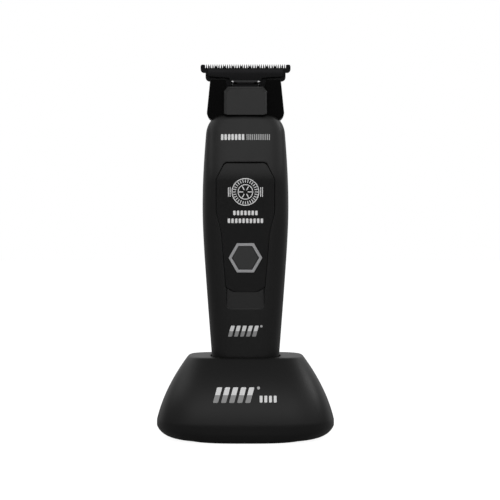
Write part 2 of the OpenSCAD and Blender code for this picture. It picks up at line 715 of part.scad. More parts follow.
module blade_screws() color([0.5, 0.5, 0.52]) blade_screw_places() difference() {
    union() {
        rod_y(screw_r - 0.02, fixed_y - 4.5, fixed_y + fixed_blade_t);
        rod_y(head_r, fixed_y + fixed_blade_t, fixed_y + fixed_blade_t + 1.2);
    }
    along_y(fixed_y + fixed_blade_t + 0.6, front_d) square([head_r * 2.4, 0.5], center = true);
}

moving_tip_z = tip_z - 0.7;
moving_half = shoulder_w / 2 - blade_travel - 0.15;
tang_w = 15;
module moving_blade() color([0.03, 0.03, 0.033]) difference() {
    along_y(moving_y, moving_y + moving_blade_t)
        polygon(toothed(moving_half - 1, moving_pitch, moving_tip_z - tooth_l, moving_tip_z, [
            [moving_half, moving_tip_z, 0.3], [moving_half, carrier_top_z + 2.2, 1.2],
            [tang_w / 2, carrier_top_z + 1.5, 0.8], [tang_w / 2, bridge_top_z + 0.8, 0.8]]));
    along_x(-blade_w, blade_w) polygon([[moving_y, tip_z - 4.4], [moving_y + moving_blade_t - 0.4, tip_z + 0.01],
                                        [moving_y - 4, tip_z + 0.01], [moving_y - 4, tip_z - 4.4]]);
}

// ---- Stand ----

function stand_u(z) = max(0, (z - wide_z) / (stand_h - wide_z));
// 0 where the sides begin to roll under, nearly 1 at the lower edge, and how far they have rolled by then
function stand_v(z) = max(0, min(1, (roll_z - z) / (roll_z - base_z + 0.08)));
function stand_roll(z) = 1 - sqrt(max(0, 1 - pow(stand_v(z), 2)));
function stand_half_w(z) = let (u = stand_u(z)) stand_w / 2 - 10.3 * stand_roll(z)
    - (stand_w - stand_top_w) / 2 * (0.5 * u + 0.5 * u * u);
function stand_half_d(z) = let (u = stand_u(z)) stand_d / 2 - 1.2 * stand_v(z)
    - (stand_d - stand_top_d) / 2 * (0.3 * u + 0.7 * u * u);
function stand_ring(z, inset) = [
    for (i = [0:47])
        let (p = squared(i * 7.5, 3.5 + 0.1 * stand_u(z) - 0.6 * stand_roll(z)))
        [(stand_half_w(z) - inset) * p[0], (stand_half_d(z) - inset) * p[1], z]];

module stand_solid() loft(concat(
    [for (a = [90:-18:18]) stand_ring(roll_z - (roll_z - base_z) * sin(a), 0)],
    [for (z = levels(roll_z, stand_h - 0.8, 9)) stand_ring(z, 0)],
    [stand_ring(stand_h - 0.25, 0.25), stand_ring(stand_h, 0.8)]));

module stand_cavity() loft(concat(
    [[for (p = stand_ring(base_z, stand_wall + 0.2)) [p[0], p[1], base_z - 0.2]],
     stand_ring(base_z + base_plate_t, stand_wall + 0.5)],
    [for (z = levels(roll_z, stand_h - stand_wall, 5)) stand_ring(z, stand_wall)]));

function well_ring(z, gap) = handle_ring(max(z, tail_z + tail_r), -gap, -gap, -gap, 0)
    + [for (i = [0:arc_n - 1]) [0, 0, z - max(z, tail_z + tail_r)]];
module well(gap, z0, z1) loft([for (z = levels(z0, z1, 4)) well_ring(z, gap)]);

module stand_screw_places() both_sides() {
    translate([stand_screw_x, stand_screw_y, 0]) children();
    translate([stand_screw_x, -stand_screw_y, 0]) children();
}

module stand_shell() color([0.025, 0.025, 0.027]) difference() {
    union() {
        difference() {
            stand_solid();
            stand_cavity();
        }
        intersection() {
            stand_solid();
            union() {
                well(well_gap + 1.8, block_top_z, stand_h);
                stand_screw_places() translate([0, 0, base_z + base_plate_t]) cylinder(r = 3, h = stand_h);
            }
        }
    }
    well(well_gap, well_floor_z, stand_h + 1);
    contact_places() translate([0, 0, 0]) cylinder(r = pin_d / 2 + run, h = stand_h);
    stand_screw_places() cylinder(r = screw_r + 0.2, h = base_z + base_plate_t + 9);
    along_y(stand_d / 4, stand_d) translate([0, usb_z + usb_h / 2])
        square([usb_w + 2 * clear, usb_h + 2 * clear], center = true);
}

module base_plate() color([0.05, 0.05, 0.052]) difference() {
    union() {
        translate([0, 0, base_z]) linear_extrude(base_plate_t) polygon([
            for (p = stand_ring(base_z, stand_wall + 0.5)) [p[0], p[1]]]);
        // Posts that carry the board
        both_sides() for (y = [-4, stand_d / 2 - 12])
            translate([6.5, y, base_z + base_plate_t]) cylinder(r = 1.5, h = board_z - base_z - base_plate_t);
    }
    translate([0, 0, base_z - 1]) linear_extrude(1.7) foot_outline(clear);
    stand_screw_places() {
        cylinder(r = screw_r + 0.35, h = 5);
        translate([0, 0, base_z - 1]) cylinder(r = head_r + 0.3, h = 2);
    }
}

foot_band = 3.2;
function foot_ring_points(inset) = [
    for (p = stand_ring(base_z, stand_wall + 1.5 + inset)) [p[0], p[1]]];
module foot_outline(gap) difference() {
    polygon(foot_ring_points(-gap));
    polygon(foot_ring_points(foot_band + gap));
}
module foot_ring() color([0.04, 0.04, 0.04]) linear_extrude(base_z + 0.7) foot_outline(0);

module stand_screws() color([0.6, 0.6, 0.62]) stand_screw_places() difference() {
    union() {
        translate([0, 0, base_z + 1]) cylinder(r = screw_r + 0.2, h = base_plate_t + 6);
        translate([0, 0, base_z - 0.3]) cylinder(r = head_r + 0.1, h = 1.3);
    }
    linear_extrude(base_z + 0.4) square([2.6, 0.6], center = true);
    linear_extrude(base_z + 0.4) square([0.6, 2.6], center = true);
}

module ballast_bars() color([0.42, 0.42, 0.44]) both_sides()
    translate([0, 0, base_z + base_plate_t]) linear_extrude(5.5)
        polygon(rounded([[11, -12, 2], [23, -12, 2], [23, 12, 2], [11, 12, 2]]));

module stand_board() color([0.02, 0.16, 0.07]) box([-9.5, -7, board_z], [9.5, stand_d / 2 - 4, block_z]);

module usb_socket() color([0.7, 0.7, 0.72]) along_y(stand_d / 2 - 2.6 - usb_l, stand_d / 2 - 2.6)
    translate([0, usb_z + usb_h / 2]) difference() {
        usb_outline(usb_w / 2, usb_h / 2);
        difference() {
            usb_outline(usb_w / 2 - 0.3, usb_h / 2 - 0.3);
            square([6.2, 0.7], center = true);
        }
    }
module usb_outline(w, h) polygon(rounded([[w, -h, h * 0.9], [w, h, h * 0.9], [-w, h, h * 0.9], [-w, -h, h * 0.9]]));

module contact_block() color([0.07, 0.07, 0.075]) difference() {
    box([-pin_spacing / 2 - 3.4, -3.4, block_z], [pin_spacing / 2 + 3.4, 3.4, block_top_z]);
    contact_places() translate([0, 0, block_z + 0.6]) cylinder(r = pin_flange_r + run, h = 9);
}

pin_flange_z = block_top_z - 0.85;
module charging_pin() color([0.86, 0.7, 0.32]) {
    translate([0, 0, pin_flange_z]) cylinder(r = pin_flange_r, h = 0.8);
    translate([0, 0, pin_flange_z]) cylinder(d = pin_d, h = pin_tip_z - pin_flange_z - pin_d / 2);
    translate([0, 0, pin_tip_z - pin_d / 2]) sphere(d = pin_d);
}
module left_charging_pin() translate([-pin_spacing / 2, 0, 0]) charging_pin();
module right_charging_pin() translate([pin_spacing / 2, 0, 0]) charging_pin();

// Coil spring under a charging pin, as a closed sleeve of its outer size
module pin_spring() color([0.7, 0.7, 0.72]) translate([0, 0, block_z + 0.6]) difference() {
    cylinder(r = pin_flange_r - 0.05, h = pin_flange_z - block_z - 0.6);
    translate([0, 0, -1]) cylinder(r = pin_flange_r - 0.35, h = 9);
}
module left_pin_spring() translate([-pin_spacing / 2, 0, 0]) pin_spring();
module right_pin_spring() translate([pin_spacing / 2, 0, 0]) pin_spring();

front_housing();
rear_housing();
tail_cap();
charge_contacts();
housing_screws();
control_panel();
button_ring();
power_button();
switch_plunger();
tactile_switch();
control_board();
board_chips();
board_screws();
chassis();
battery_cell();
battery_tabs();
motor_case();
stator_core();
stator_coils();
rotor_magnet();
motor_shaft();
lower_bearing();
upper_bearing();
motor_mount();
motor_screws();
crank();
crank_roller();
drive_lever();
lever_pin();
pin_clip();
blade_carrier();
carrier_screws();
drive_cover();
tension_spring();
fixed_blade();
blade_screws();
moving_blade();
cutter_follower();
stand_shell();
base_plate();
foot_ring();
stand_screws();
ballast_bars();
stand_board();
usb_socket();
contact_block();
left_charging_pin();
right_charging_pin();
left_pin_spring();
right_pin_spring();
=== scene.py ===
"""Looks of a cordless T-blade trimmer in its charging stand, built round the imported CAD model."""

import json
import math

import bmesh
import bpy
import numpy as np
from mathutils import Matrix, Vector


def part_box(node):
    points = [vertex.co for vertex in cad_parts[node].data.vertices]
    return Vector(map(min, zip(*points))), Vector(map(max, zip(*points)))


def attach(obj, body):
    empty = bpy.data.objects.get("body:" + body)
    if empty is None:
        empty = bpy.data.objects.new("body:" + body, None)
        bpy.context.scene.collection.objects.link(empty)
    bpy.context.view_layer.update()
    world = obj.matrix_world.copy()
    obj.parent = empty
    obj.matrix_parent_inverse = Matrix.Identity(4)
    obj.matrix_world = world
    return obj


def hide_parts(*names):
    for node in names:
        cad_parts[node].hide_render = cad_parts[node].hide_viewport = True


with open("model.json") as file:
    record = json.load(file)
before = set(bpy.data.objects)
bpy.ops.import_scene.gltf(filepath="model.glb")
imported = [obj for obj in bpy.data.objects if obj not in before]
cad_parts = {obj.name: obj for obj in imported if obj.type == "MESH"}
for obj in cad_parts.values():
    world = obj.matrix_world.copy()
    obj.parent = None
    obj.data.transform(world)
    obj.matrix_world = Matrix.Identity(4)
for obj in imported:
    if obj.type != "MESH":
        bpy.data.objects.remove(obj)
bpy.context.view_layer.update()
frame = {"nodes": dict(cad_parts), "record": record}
MM = 0.001


# ---------------------------------------------------------------- graphs: shader and geometry nodes

class Wire:
    """One output socket. Operators on it add Math nodes to its graph."""

    def __init__(self, graph, socket):
        self.graph, self.socket = graph, socket

    def math(self, operation, *others):
        values = dict(enumerate((self,) + others))
        return self.graph.node("ShaderNodeMath", {"operation": operation}, values)

    def __add__(self, other): return self.math("ADD", other)
    def __radd__(self, other): return self.math("ADD", other)
    def __sub__(self, other): return self.math("SUBTRACT", other)
    def __rsub__(self, other): return self.graph.value_math("SUBTRACT", other, self)
    def __mul__(self, other): return self.math("MULTIPLY", other)
    def __truediv__(self, other): return self.math("DIVIDE", other)
    def __abs__(self): return self.math("ABSOLUTE")
    def __pow__(self, other): return self.math("POWER", other)

    def clamp(self):
        return self.graph.node("ShaderNodeClamp", {}, {"Value": self})

    def smooth(self, low, high):
        return self.graph.node("ShaderNodeMapRange", {"interpolation_type": "SMOOTHSTEP"},
                               {"Value": self, "From Min": low, "From Max": high})


class Graph:
    """A node tree that is filled by one method, node()."""

    def __init__(self, tree):
        self.tree = tree

    def node(self, kind, settings=(), sockets=(), output=0):
        made = self.tree.nodes.new(kind)
        for key, value in dict(settings).items():
            setattr(made, key, value)
        for key, value in dict(sockets).items():
            if isinstance(value, Wire):
                self.tree.links.new(value.socket, made.inputs[key])
            else:
                made.inputs[key].default_value = value
        return Wire(self, made.outputs[output]) if made.outputs else made

    def value_math(self, operation, first, second):
        return self.node("ShaderNodeMath", {"operation": operation}, {0: first, 1: second})


class Finish(Graph):
    """A material: its graph, the Principled shader's values and the patterns that vary them."""

    def __init__(self, name):
        self.material = bpy.data.materials.new(name)
        self.material.use_nodes = True
        self.material.node_tree.nodes.clear()
        super().__init__(self.material.node_tree)
        self.place = self.node("ShaderNodeTexCoord", {}, {}, "Object")

    def grain(self, size, detail=2.0, rough=0.5, stretch=(1, 1, 1), shift=(0, 0, 0)):
        """Noise with features of about the given size in millimetres, from 0 to 1."""
        spot = self.node("ShaderNodeMapping", {}, {"Vector": self.place, "Location": shift, "Scale": stretch})
        return self.node("ShaderNodeTexNoise", {"noise_dimensions": "3D"},
                         {"Vector": spot, "Scale": 1 / (size * MM), "Detail": detail, "Roughness": rough})

    def axis(self, name):
        return self.node("ShaderNodeSeparateXYZ", {}, {"Vector": self.place}, name)

    def blend(self, mask, first, second):
        """Colour first where mask is 0, second where it is 1."""
        return self.node("ShaderNodeMix", {"data_type": "RGBA"}, {0: mask, 6: first, 7: second}, 2)

    def bump(self, height, depth):
        """Relief with the given depth in millimetres."""
        return self.node("ShaderNodeBump", {}, {"Height": height, "Distance": depth * MM, "Strength": 1.0})

    def done(self, **values):
        names = {"colour": "Base Color", "rough": "Roughness", "metal": "Metallic", "normal": "Normal",
                 "specular": "Specular IOR Level"}
        surface = self.node("ShaderNodeBsdfPrincipled", {}, {names[k]: v for k, v in values.items()})
        self.node("ShaderNodeOutputMaterial", {}, {"Surface": surface})
        return self.material


def rgb(level, warm=0.0):
    return (level * (1 + warm), level, level * (1 - warm), 1.0)


def moulded(name, level, rough, spark=0.1, grain=0.16, relief=0.006, warm=0.0, tint=None, specular=0.5, smear=0.07):
    """Moulded plastic with a fine spark-eroded grain, faint handling marks and uneven gloss."""
    f = Finish(name)
    fine, broad, smudge = f.grain(grain, 3), f.grain(14, 2), f.grain(5, 4, 0.6, (1, 1, 0.45), (0.3, 0.1, 0.2))
    dust = f.grain(0.5, 1, 0.5, shift=(0.7, 0.2, 0.5)).smooth(0.74, 0.82)
    base = tint or rgb(level, warm)
    light = tuple(min(1, c * 1.6 + 0.001) for c in base[:3]) + (1,)
    colour = f.blend((broad * 0.5 + fine * spark + dust * 0.25).clamp(), base, light)
    uneven = rough + (smudge - 0.5) * smear + (fine - 0.5) * 0.1 + dust * 0.1
    return f.done(colour=colour, rough=uneven.clamp(), specular=specular,
                  normal=f.bump(fine + broad * 0.4, relief))


def turned(name, colour, rough, metal=1.0, stretch=(0.04, 1, 1), relief=0.003, stain=0.12, size=0.16):
    """Metal with fine brush or grinding lines and a little staining."""
    f = Finish(name)
    lines, broad, stains = f.grain(size, 3, 0.6, stretch), f.grain(6, 3), f.grain(2.5, 4, 0.6, (1, 1, 1), (0.4, 0, 0))
    dark = tuple(c * 0.62 for c in colour[:3]) + (1,)
    tone = f.blend(((stains.smooth(0.35, 0.75)) * stain + (lines - 0.5) * 0.35 + 0.15).clamp(), colour, dark)
    uneven = rough + (lines - 0.5) * 0.14 + (broad - 0.5) * 0.1
    return f.done(colour=tone, rough=uneven.clamp(), metal=metal, normal=f.bump(lines, relief))


def plain_ink(name, level, rough=0.45):
    """Printed marks: slightly uneven ink."""
    f = Finish(name)
    fine, broad = f.grain(0.12, 2), f.grain(2.0, 2)
    return f.done(colour=f.blend((fine * 0.4 + broad * 0.4).clamp(), rgb(level), rgb(level * 0.8)),
                  rough=(rough + (fine - 0.5) * 0.2).clamp(), normal=f.bump(fine, 0.002))


def two_tone_ink(name, upper, lower, split):
    """Ink that changes from upper to lower at height split, in millimetres."""
    f = Finish(name)
    fine = f.grain(0.12, 2)
    above = f.axis("Z").smooth((split - 0.08) * MM, (split + 0.08) * MM)
    tone = f.blend(above, lower, upper)
    worn = f.blend((fine * 0.35).clamp(), tone, rgb(0.12))
    return f.done(colour=worn, rough=(0.35 + (fine - 0.5) * 0.2).clamp(), normal=f.bump(fine, 0.002))


def board_resist(name):
    """Circuit board: green solder resist over a faint pattern of tracks."""
    f = Finish(name)
    tracks = f.node("ShaderNodeTexBrick", {}, {"Vector": f.place, "Scale": 420.0, "Mortar Size": 0.03,
                                               "Color1": rgb(0.0), "Color2": rgb(0.1), "Mortar": rgb(1.0)})
    fine = f.grain(0.3, 2)
    colour = f.blend((tracks * 0.5 + fine * 0.2).clamp(), (0.01, 0.09, 0.035, 1), (0.03, 0.2, 0.08, 1))
    return f.done(colour=colour, rough=(0.3 + (fine - 0.5) * 0.15).clamp(), normal=f.bump(tracks, 0.02))


def rubber(name):
    f = Finish(name)
    fine, dust = f.grain(0.1, 3), f.grain(3, 4, 0.6)
    colour = f.blend((dust.smooth(0.5, 0.8) * 0.5 + fine * 0.1).clamp(), rgb(0.018), rgb(0.06, 0.05))
    return f.done(colour=colour, rough=(0.78 + (fine - 0.5) * 0.15).clamp(), specular=0.3,
                  normal=f.bump(fine, 0.012))


FINISHES = {
    "housing": moulded("satin black handle", 0.003, 0.4, specular=0.5),
    "panel": moulded("smooth black panel", 0.002, 0.34, spark=0.05, grain=0.1, relief=0.003, specular=0.42),
    "button_metal": turned("silver ring", (0.56, 0.56, 0.57, 1), 0.36, metal=0.65, stretch=(0.1, 1, 1)),
    "button_cap": moulded("grey button", 0.023, 0.42, grain=0.12),
    "inner_plastic": moulded("inner moulding", 0.05, 0.5, relief=0.01),
    "acetal": moulded("natural acetal", 0.7, 0.38, warm=0.03),
    "steel": turned("bright steel", (0.6, 0.6, 0.61, 1), 0.28),
    "motor_steel": turned("plated motor steel", (0.32, 0.33, 0.35, 1), 0.34, stretch=(1, 1, 0.05)),
    "magnet": turned("ground magnet", (0.42, 0.42, 0.43, 1), 0.4, stretch=(1, 1, 0.05)),
    "copper": turned("winding wire", (0.75, 0.36, 0.16, 1), 0.3, stretch=(1, 1, 0.08)),
    "gold": turned("gold plating", (0.86, 0.64, 0.26, 1), 0.22, stretch=(1, 1, 1)),
    "bronze": turned("turned bronze", (0.6, 0.42, 0.18, 1), 0.32, stretch=(1, 1, 0.1)),
    "board": board_resist("green board"),
    "chip": moulded("chip epoxy", 0.02, 0.5, grain=0.08),
    "cell": moulded("cell sleeve", 0.1, 0.25, tint=(0.03, 0.12, 0.3, 1), relief=0.004),
    "carrier": moulded("deep black neck", 0.0005, 0.32, spark=0.02, relief=0.003, specular=0.1, smear=0.1),
    "cover": moulded("dark grey cover", 0.0042, 0.4, grain=0.2),
    "blade": turned("black coated blade", (0.022, 0.022, 0.023, 1), 0.4, metal=0.95, stretch=(1, 1, 0.05),
                    relief=0.002),
    "stand": moulded("satin black stand", 0.003, 0.37, grain=0.2, relief=0.005, specular=0.41),
    "base": moulded("plain base moulding", 0.012, 0.5, grain=0.25, relief=0.015),
    "foot": rubber("foot rubber"),
    "ballast": turned("zinc plated bar", (0.45, 0.45, 0.46, 1), 0.4),
    # Bright steel on the spring's knuckles is a painted highlight: it makes the glints at the bends, while the rest of
    # the wire stays dark
    "knuckle": turned("worn bright wire", (0.9, 0.9, 0.9, 1), 0.2, stretch=(1, 1, 1), relief=0.0005),
    "wire": turned("polished spring wire", (0.06, 0.06, 0.062, 1), 0.14, stretch=(1, 1, 1), relief=0.0005),
}
WHITE_INK = plain_ink("white print", 0.86)
GREY_INK = plain_ink("grey print", 0.5)

slot_of = {s["node"]: s["material_slot"] for s in frame["record"]["subparts"]}
for node_name, node_object in frame["nodes"].items():
    for holder in node_object.material_slots:
        holder.material = FINISHES[slot_of[node_name]]


# ---------------------------------------------------------------- meshes

def link(name, mesh, finish=None):
    obj = bpy.data.objects.new(name, mesh)
    bpy.context.scene.collection.objects.link(obj)
    if finish:
        mesh.materials.clear()
        mesh.materials.append(finish)
    return obj


def solid(name, points, faces, finish=None):
    """A closed mesh from points in millimetres, with its faces turned outwards."""
    mesh = bpy.data.meshes.new(name)
    mesh.from_pydata([(x * MM, y * MM, z * MM) for x, y, z in points], [], faces)
    shape = bmesh.new()
    shape.from_mesh(mesh)
    bmesh.ops.remove_doubles(shape, verts=shape.verts, dist=1e-7)
    bmesh.ops.recalc_face_normals(shape, faces=shape.faces)
    shape.to_mesh(mesh)
    shape.free()
    return link(name, mesh, finish)


def smooth(obj, angle=32):
    for face in obj.data.polygons:
        face.use_smooth = True
    obj.data.set_sharp_from_angle(angle=math.radians(angle))
    return obj


def bake(obj):
    """Replaces an object's mesh by what its modifiers make of it."""
    made = bpy.data.meshes.new_from_object(obj.evaluated_get(bpy.context.evaluated_depsgraph_get()))
    obj.modifiers.clear()
    obj.data = made
    return obj


def crisp(obj, angle=32):
    """Smooth shading that keeps large faces flat."""
    smooth(obj, angle)
    obj.modifiers.new("normals", "WEIGHTED_NORMAL").keep_sharp = True
    return bake(obj)


def bevelled(obj, width, segments=3, angle=35):
    edge = obj.modifiers.new("edge", "BEVEL")
    edge.width, edge.segments, edge.limit_method = width * MM, segments, "ANGLE"
    edge.angle_limit = math.radians(angle)
    edge.miter_outer = "MITER_ARC"
    return crisp(bake(obj), angle)


def cut(obj, *cutters, operation="DIFFERENCE"):
    for cutter in cutters:
        step = obj.modifiers.new("cut", "BOOLEAN")
        step.operation, step.solver, step.object = operation, "EXACT", cutter
        bake(obj)
        bpy.data.objects.remove(cutter)
    assert obj.data.polygons, obj.name + " was cut away"
    return obj


def joined(name, *objects):
    """One mesh from several objects, keeping each one's materials."""
    first = objects[0]
    with bpy.context.temp_override(active_object=first, selected_editable_objects=list(objects)):
        bpy.ops.object.join()
    first.name = name
    return first


def rounded(corners, steps=6):
    """Outline from corners (x, y, radius), each rounded by an arc."""
    out, n = [], len(corners)
    for i, (x, y, r) in enumerate(corners):
        p = np.array([x, y], float)
        a, b = (np.array(corners[k % n][:2], float) - p for k in (i - 1, i + 1))
        u, v = a / np.linalg.norm(a), b / np.linalg.norm(b)
        half = math.acos(max(-1, min(1, float(u @ v)))) / 2
        if r <= 0 or half > math.radians(89.5):
            out.append(p)
            continue
        centre = p + (u + v) / np.linalg.norm(u + v) * r / math.sin(half)
        t1, t2 = p + u * r / math.tan(half) - centre, p + v * r / math.tan(half) - centre
        turn = math.pi - 2 * half
        for k in range(steps + 1):
            f = k / steps
            out.append(centre + (t1 * math.sin(turn * (1 - f)) + t2 * math.sin(turn * f)) / math.sin(turn))
    return np.array(out)


def mirrored(half):
    return list(half) + [(-x, y, r) for x, y, r in reversed(half)]


def prism(name, outline, low, high, finish=None, along="y"):
    """A flat outline drawn from low to high: an X-Z outline along Y, or an X-Y outline along Z."""
    n = len(outline)
    lay = (lambda p, d: (p[0], d, p[1])) if along == "y" else (lambda p, d: (p[0], p[1], d))
    points = [lay(p, low) for p in outline] + [lay(p, high) for p in outline]
    faces = [list(range(n)), list(range(n, 2 * n))]
    faces += [(i, (i + 1) % n, (i + 1) % n + n, i + n) for i in range(n)]
    return solid(name, points, faces, finish)


def hexagon(radius):
    return [(radius * math.cos(math.radians(60 * k)), radius * math.sin(math.radians(60 * k))) for k in range(6)]


def disc(radius, steps=48):
    return [(radius * math.cos(2 * math.pi * k / steps), radius * math.sin(2 * math.pi * k / steps))
            for k in range(steps)]


def shifted(outline, dx, dz):
    return [(p[0] + dx, p[1] + dz) for p in outline]


def tube(name, rings, finish, closed=False):
    """A skin over rings (rows, points, 3). Its ends are closed by flat faces, or it closes on itself."""
    rows, n = rings.shape[:2]
    faces = []
    for j in range(rows if closed else rows - 1):
        a, b = j * n, (j + 1) % rows * n
        faces += [(a + i, a + (i + 1) % n, b + (i + 1) % n, b + i) for i in range(n)]
    if not closed:
        faces += [list(range(n)), list(range((rows - 1) * n, rows * n))]
    return solid(name, rings.reshape(-1, 3), faces, finish)


def slice_levels(obj, levels, axis=(0, 0, 1)):
    """Cuts every face of obj at the given heights, in millimetres, so that it can bend."""
    shape = bmesh.new()
    shape.from_mesh(obj.data)
    for level in levels:
        bmesh.ops.bisect_plane(shape, geom=shape.verts[:] + shape.edges[:] + shape.faces[:], dist=1e-8,
                               plane_co=Vector(axis) * level * MM, plane_no=axis)
    shape.to_mesh(obj.data)
    shape.free()
    return obj


def reshape(obj, rule):
    """Moves every vertex by rule, which takes and returns arrays of x, y and z in millimetres."""
    mesh = obj.data
    co = np.zeros(len(mesh.vertices) * 3, np.float32)
    mesh.vertices.foreach_get("co", co)
    x, y, z = (co.reshape(-1, 3).T / MM).astype(float)
    mesh.vertices.foreach_set("co", (np.stack(rule(x, y, z), 1) * MM).astype(np.float32).ravel())
    mesh.update()
    return obj


def finish_piece(obj, body, slot, *nodes):
    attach(obj, body)
    if nodes:
        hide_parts(*nodes)
    return obj


# ---------------------------------------------------------------- geometry node trees

class Tool(Graph):
    """A Geometry Nodes tree with named inputs, used once for each row of copies and then baked."""

    def __init__(self, name, inputs):
        tree = bpy.data.node_groups.new(name, "GeometryNodeTree")
        super().__init__(tree)
        tree.interface.new_socket("Geometry", in_out="INPUT", socket_type="NodeSocketGeometry")
        tree.interface.new_socket("Geometry", in_out="OUTPUT", socket_type="NodeSocketGeometry")
        for key, kind in inputs.items():
            tree.interface.new_socket(key, in_out="INPUT", socket_type="NodeSocket" + kind)
        tree.interface.new_socket("Finish", in_out="INPUT", socket_type="NodeSocketMaterial")
        self.source = tree.nodes.new("NodeGroupInput")

    def given(self, key):
        return Wire(self, self.source.outputs[key])

    def end(self, geometry):
        """Makes the copies real, gives them the finish and closes the tree."""
        whole = self.node("GeometryNodeRealizeInstances", {}, {"Geometry": geometry})
        whole = self.node("GeometryNodeSetMaterial", {}, {"Geometry": whole, "Material": self.given("Finish")})
        out = self.tree.nodes.new("NodeGroupOutput")
        self.tree.links.new(whole.socket, out.inputs[0])
        return self

    def spot(self, axis):
        return self.node("ShaderNodeSeparateXYZ", {}, {"Vector": self.node("GeometryNodeInputPosition")}, axis)

    def vector(self, x=0.0, y=0.0, z=0.0):
        return self.node("ShaderNodeCombineXYZ", {}, {"X": x, "Y": y, "Z": z})

    def copies(self, points, instance):
        return self.node("GeometryNodeInstanceOnPoints", {}, {"Points": points, "Instance": instance})

    def row_of(self, instance):
        """Count copies along X, Pitch apart, centred on the origin."""
        start = (self.given("Count") - 1) * self.given("Pitch") * -0.5
        return self.copies(self.node("GeometryNodeMeshLine", {}, {
            "Count": self.given("Count"), "Start Location": self.vector(start),
            "Offset": self.vector(self.given("Pitch"))}), instance)

    def make(self, name, finish, points=((0, 0, 0),), turn=None, **values):
        """Runs the tree on a mesh of points, in millimetres, and returns its result as a plain object."""
        mesh = bpy.data.meshes.new(name)
        mesh.from_pydata([tuple(c * MM for c in p) for p in points], [], [])
        obj = link(name, mesh)
        run = obj.modifiers.new("tool", "NODES")
        run.node_group = self.tree
        names = {s.name: s.identifier for s in self.tree.interface.items_tree if s.in_out == "INPUT"}
        for key, value in values.items():
            run[names[key]] = value
        run[names["Finish"]] = finish
        bake(obj)
        if turn:
            obj.data.transform(turn)
        return obj


def tooth_tool():
    """A row of tapered teeth along X, standing on z = 0, with a flat face at y = 0."""
    t = Tool("blade teeth", {"Count": "Int", "Pitch": "Float", "Root Width": "Float", "Tip Width": "Float",
                             "Length": "Float", "Root Depth": "Float", "Tip Depth": "Float"})
    part = t.spot("Z") + 0.5
    width = t.given("Root Width") + (t.given("Tip Width") - t.given("Root Width")) * (part ** 1.6)
    depth = t.given("Root Depth") + (t.given("Tip Depth") - t.given("Root Depth")) * part
    block = t.node("GeometryNodeMeshCube", {}, {"Size": (1, 1, 1), "Vertices Z": 5})
    tooth = t.node("GeometryNodeSetPosition", {}, {
        "Geometry": block, "Position": t.vector(t.spot("X") * width, (t.spot("Y") + 0.5) * depth,
                                                part * t.given("Length"))})
    return t.end(t.row_of(tooth))


def screw_tool():
    """Screw heads facing +Z on the object's own points, with a bevelled rim and a socket."""
    t = Tool("screw heads", {"Head Radius": "Float", "Head Height": "Float", "Rim": "Float", "Socket Radius": "Float",
                             "Socket Depth": "Float", "Socket Sides": "Int"})
    drum = t.node("GeometryNodeMeshCylinder", {"fill_type": "TRIANGLE_FAN"}, {
        "Vertices": 40, "Side Segments": 8, "Radius": t.given("Head Radius"), "Depth": t.given("Head Height")})
    up = t.spot("Z") / t.given("Head Height") + 0.5
    squeeze = 1 - (t.given("Rim") / t.given("Head Radius")) * (up ** 9)
    head = t.node("GeometryNodeSetPosition", {}, {"Geometry": drum, "Position": t.vector(
        t.spot("X") * squeeze, t.spot("Y") * squeeze, t.spot("Z") + t.given("Head Height") * 0.5)})
    pit = t.node("GeometryNodeMeshCylinder", {}, {"Vertices": t.given("Socket Sides"), "Side Segments": 1,
                                                  "Radius": t.given("Socket Radius"), "Depth": 1 * MM})
    pit = t.node("GeometryNodeTransform", {}, {"Geometry": pit, "Translation": t.vector(
        0, 0, t.given("Head Height") - t.given("Socket Depth") + 0.5 * MM)})
    head = t.node("GeometryNodeMeshBoolean", {"operation": "DIFFERENCE"}, {"Mesh 1": head, "Mesh 2": pit})
    return t.end(t.copies(t.given("Geometry"), head))


def bar_tool():
    """A row of upright rounded bars in the X-Y plane, centred on the object's own points."""
    t = Tool("print bars", {"Count": "Int", "Pitch": "Float", "Width": "Float", "Height": "Float",
                            "Corner": "Float", "Slant": "Float", "Thickness": "Float"})
    shape = t.node("GeometryNodeCurvePrimitiveQuadrilateral", {}, {"Width": t.given("Width"),
                                                                   "Height": t.given("Height")})
    shape = t.node("GeometryNodeFilletCurve", {"mode": "POLY"}, {"Curve": shape, "Radius": t.given("Corner"),
                                                                 "Count": 3})
    shape = t.node("GeometryNodeFillCurve", {}, {"Curve": shape})
    shape = t.node("GeometryNodeExtrudeMesh", {}, {"Mesh": shape, "Offset Scale": t.given("Thickness"),
                                                   "Individual": False})
    shape = t.node("GeometryNodeSetPosition", {}, {"Geometry": shape,
                                                   "Offset": t.vector(t.spot("Y") * t.given("Slant"))})
    return t.end(t.copies(t.given("Geometry"), t.row_of(shape)))


def dial_tool():
    """A ring with ticks round it, in the X-Y plane."""
    t = Tool("print dial", {"Count": "Int", "Radius": "Float", "Tick Length": "Float", "Tick Width": "Float",
                            "Line": "Float", "Thickness": "Float"})
    tick = t.node("GeometryNodeMeshCube", {}, {"Size": t.vector(t.given("Tick Length"), t.given("Tick Width"),
                                                                t.given("Thickness"))})
    spots = t.node("GeometryNodeMeshCircle", {}, {"Vertices": t.given("Count"), "Radius": t.given("Radius")})
    turn = t.node("FunctionNodeAlignRotationToVector", {"axis": "X"},
                  {"Vector": t.node("GeometryNodeInputPosition")})
    ticks = t.node("GeometryNodeInstanceOnPoints", {}, {"Points": spots, "Instance": tick, "Rotation": turn})
    path = t.node("GeometryNodeCurvePrimitiveCircle", {"mode": "RADIUS"}, {
        "Resolution": 96, "Radius": t.given("Radius") + t.given("Tick Length") * 0.5 + t.given("Line")})
    line = t.node("GeometryNodeCurvePrimitiveQuadrilateral", {}, {"Width": t.given("Line"),
                                                                  "Height": t.given("Thickness")})
    ring = t.node("GeometryNodeCurveToMesh", {}, {"Curve": path, "Profile Curve": line})
    both = t.node("GeometryNodeJoinGeometry")
    for piece in (ticks, ring):
        t.tree.links.new(piece.socket, both.socket.node.inputs[0])
    return t.end(both)


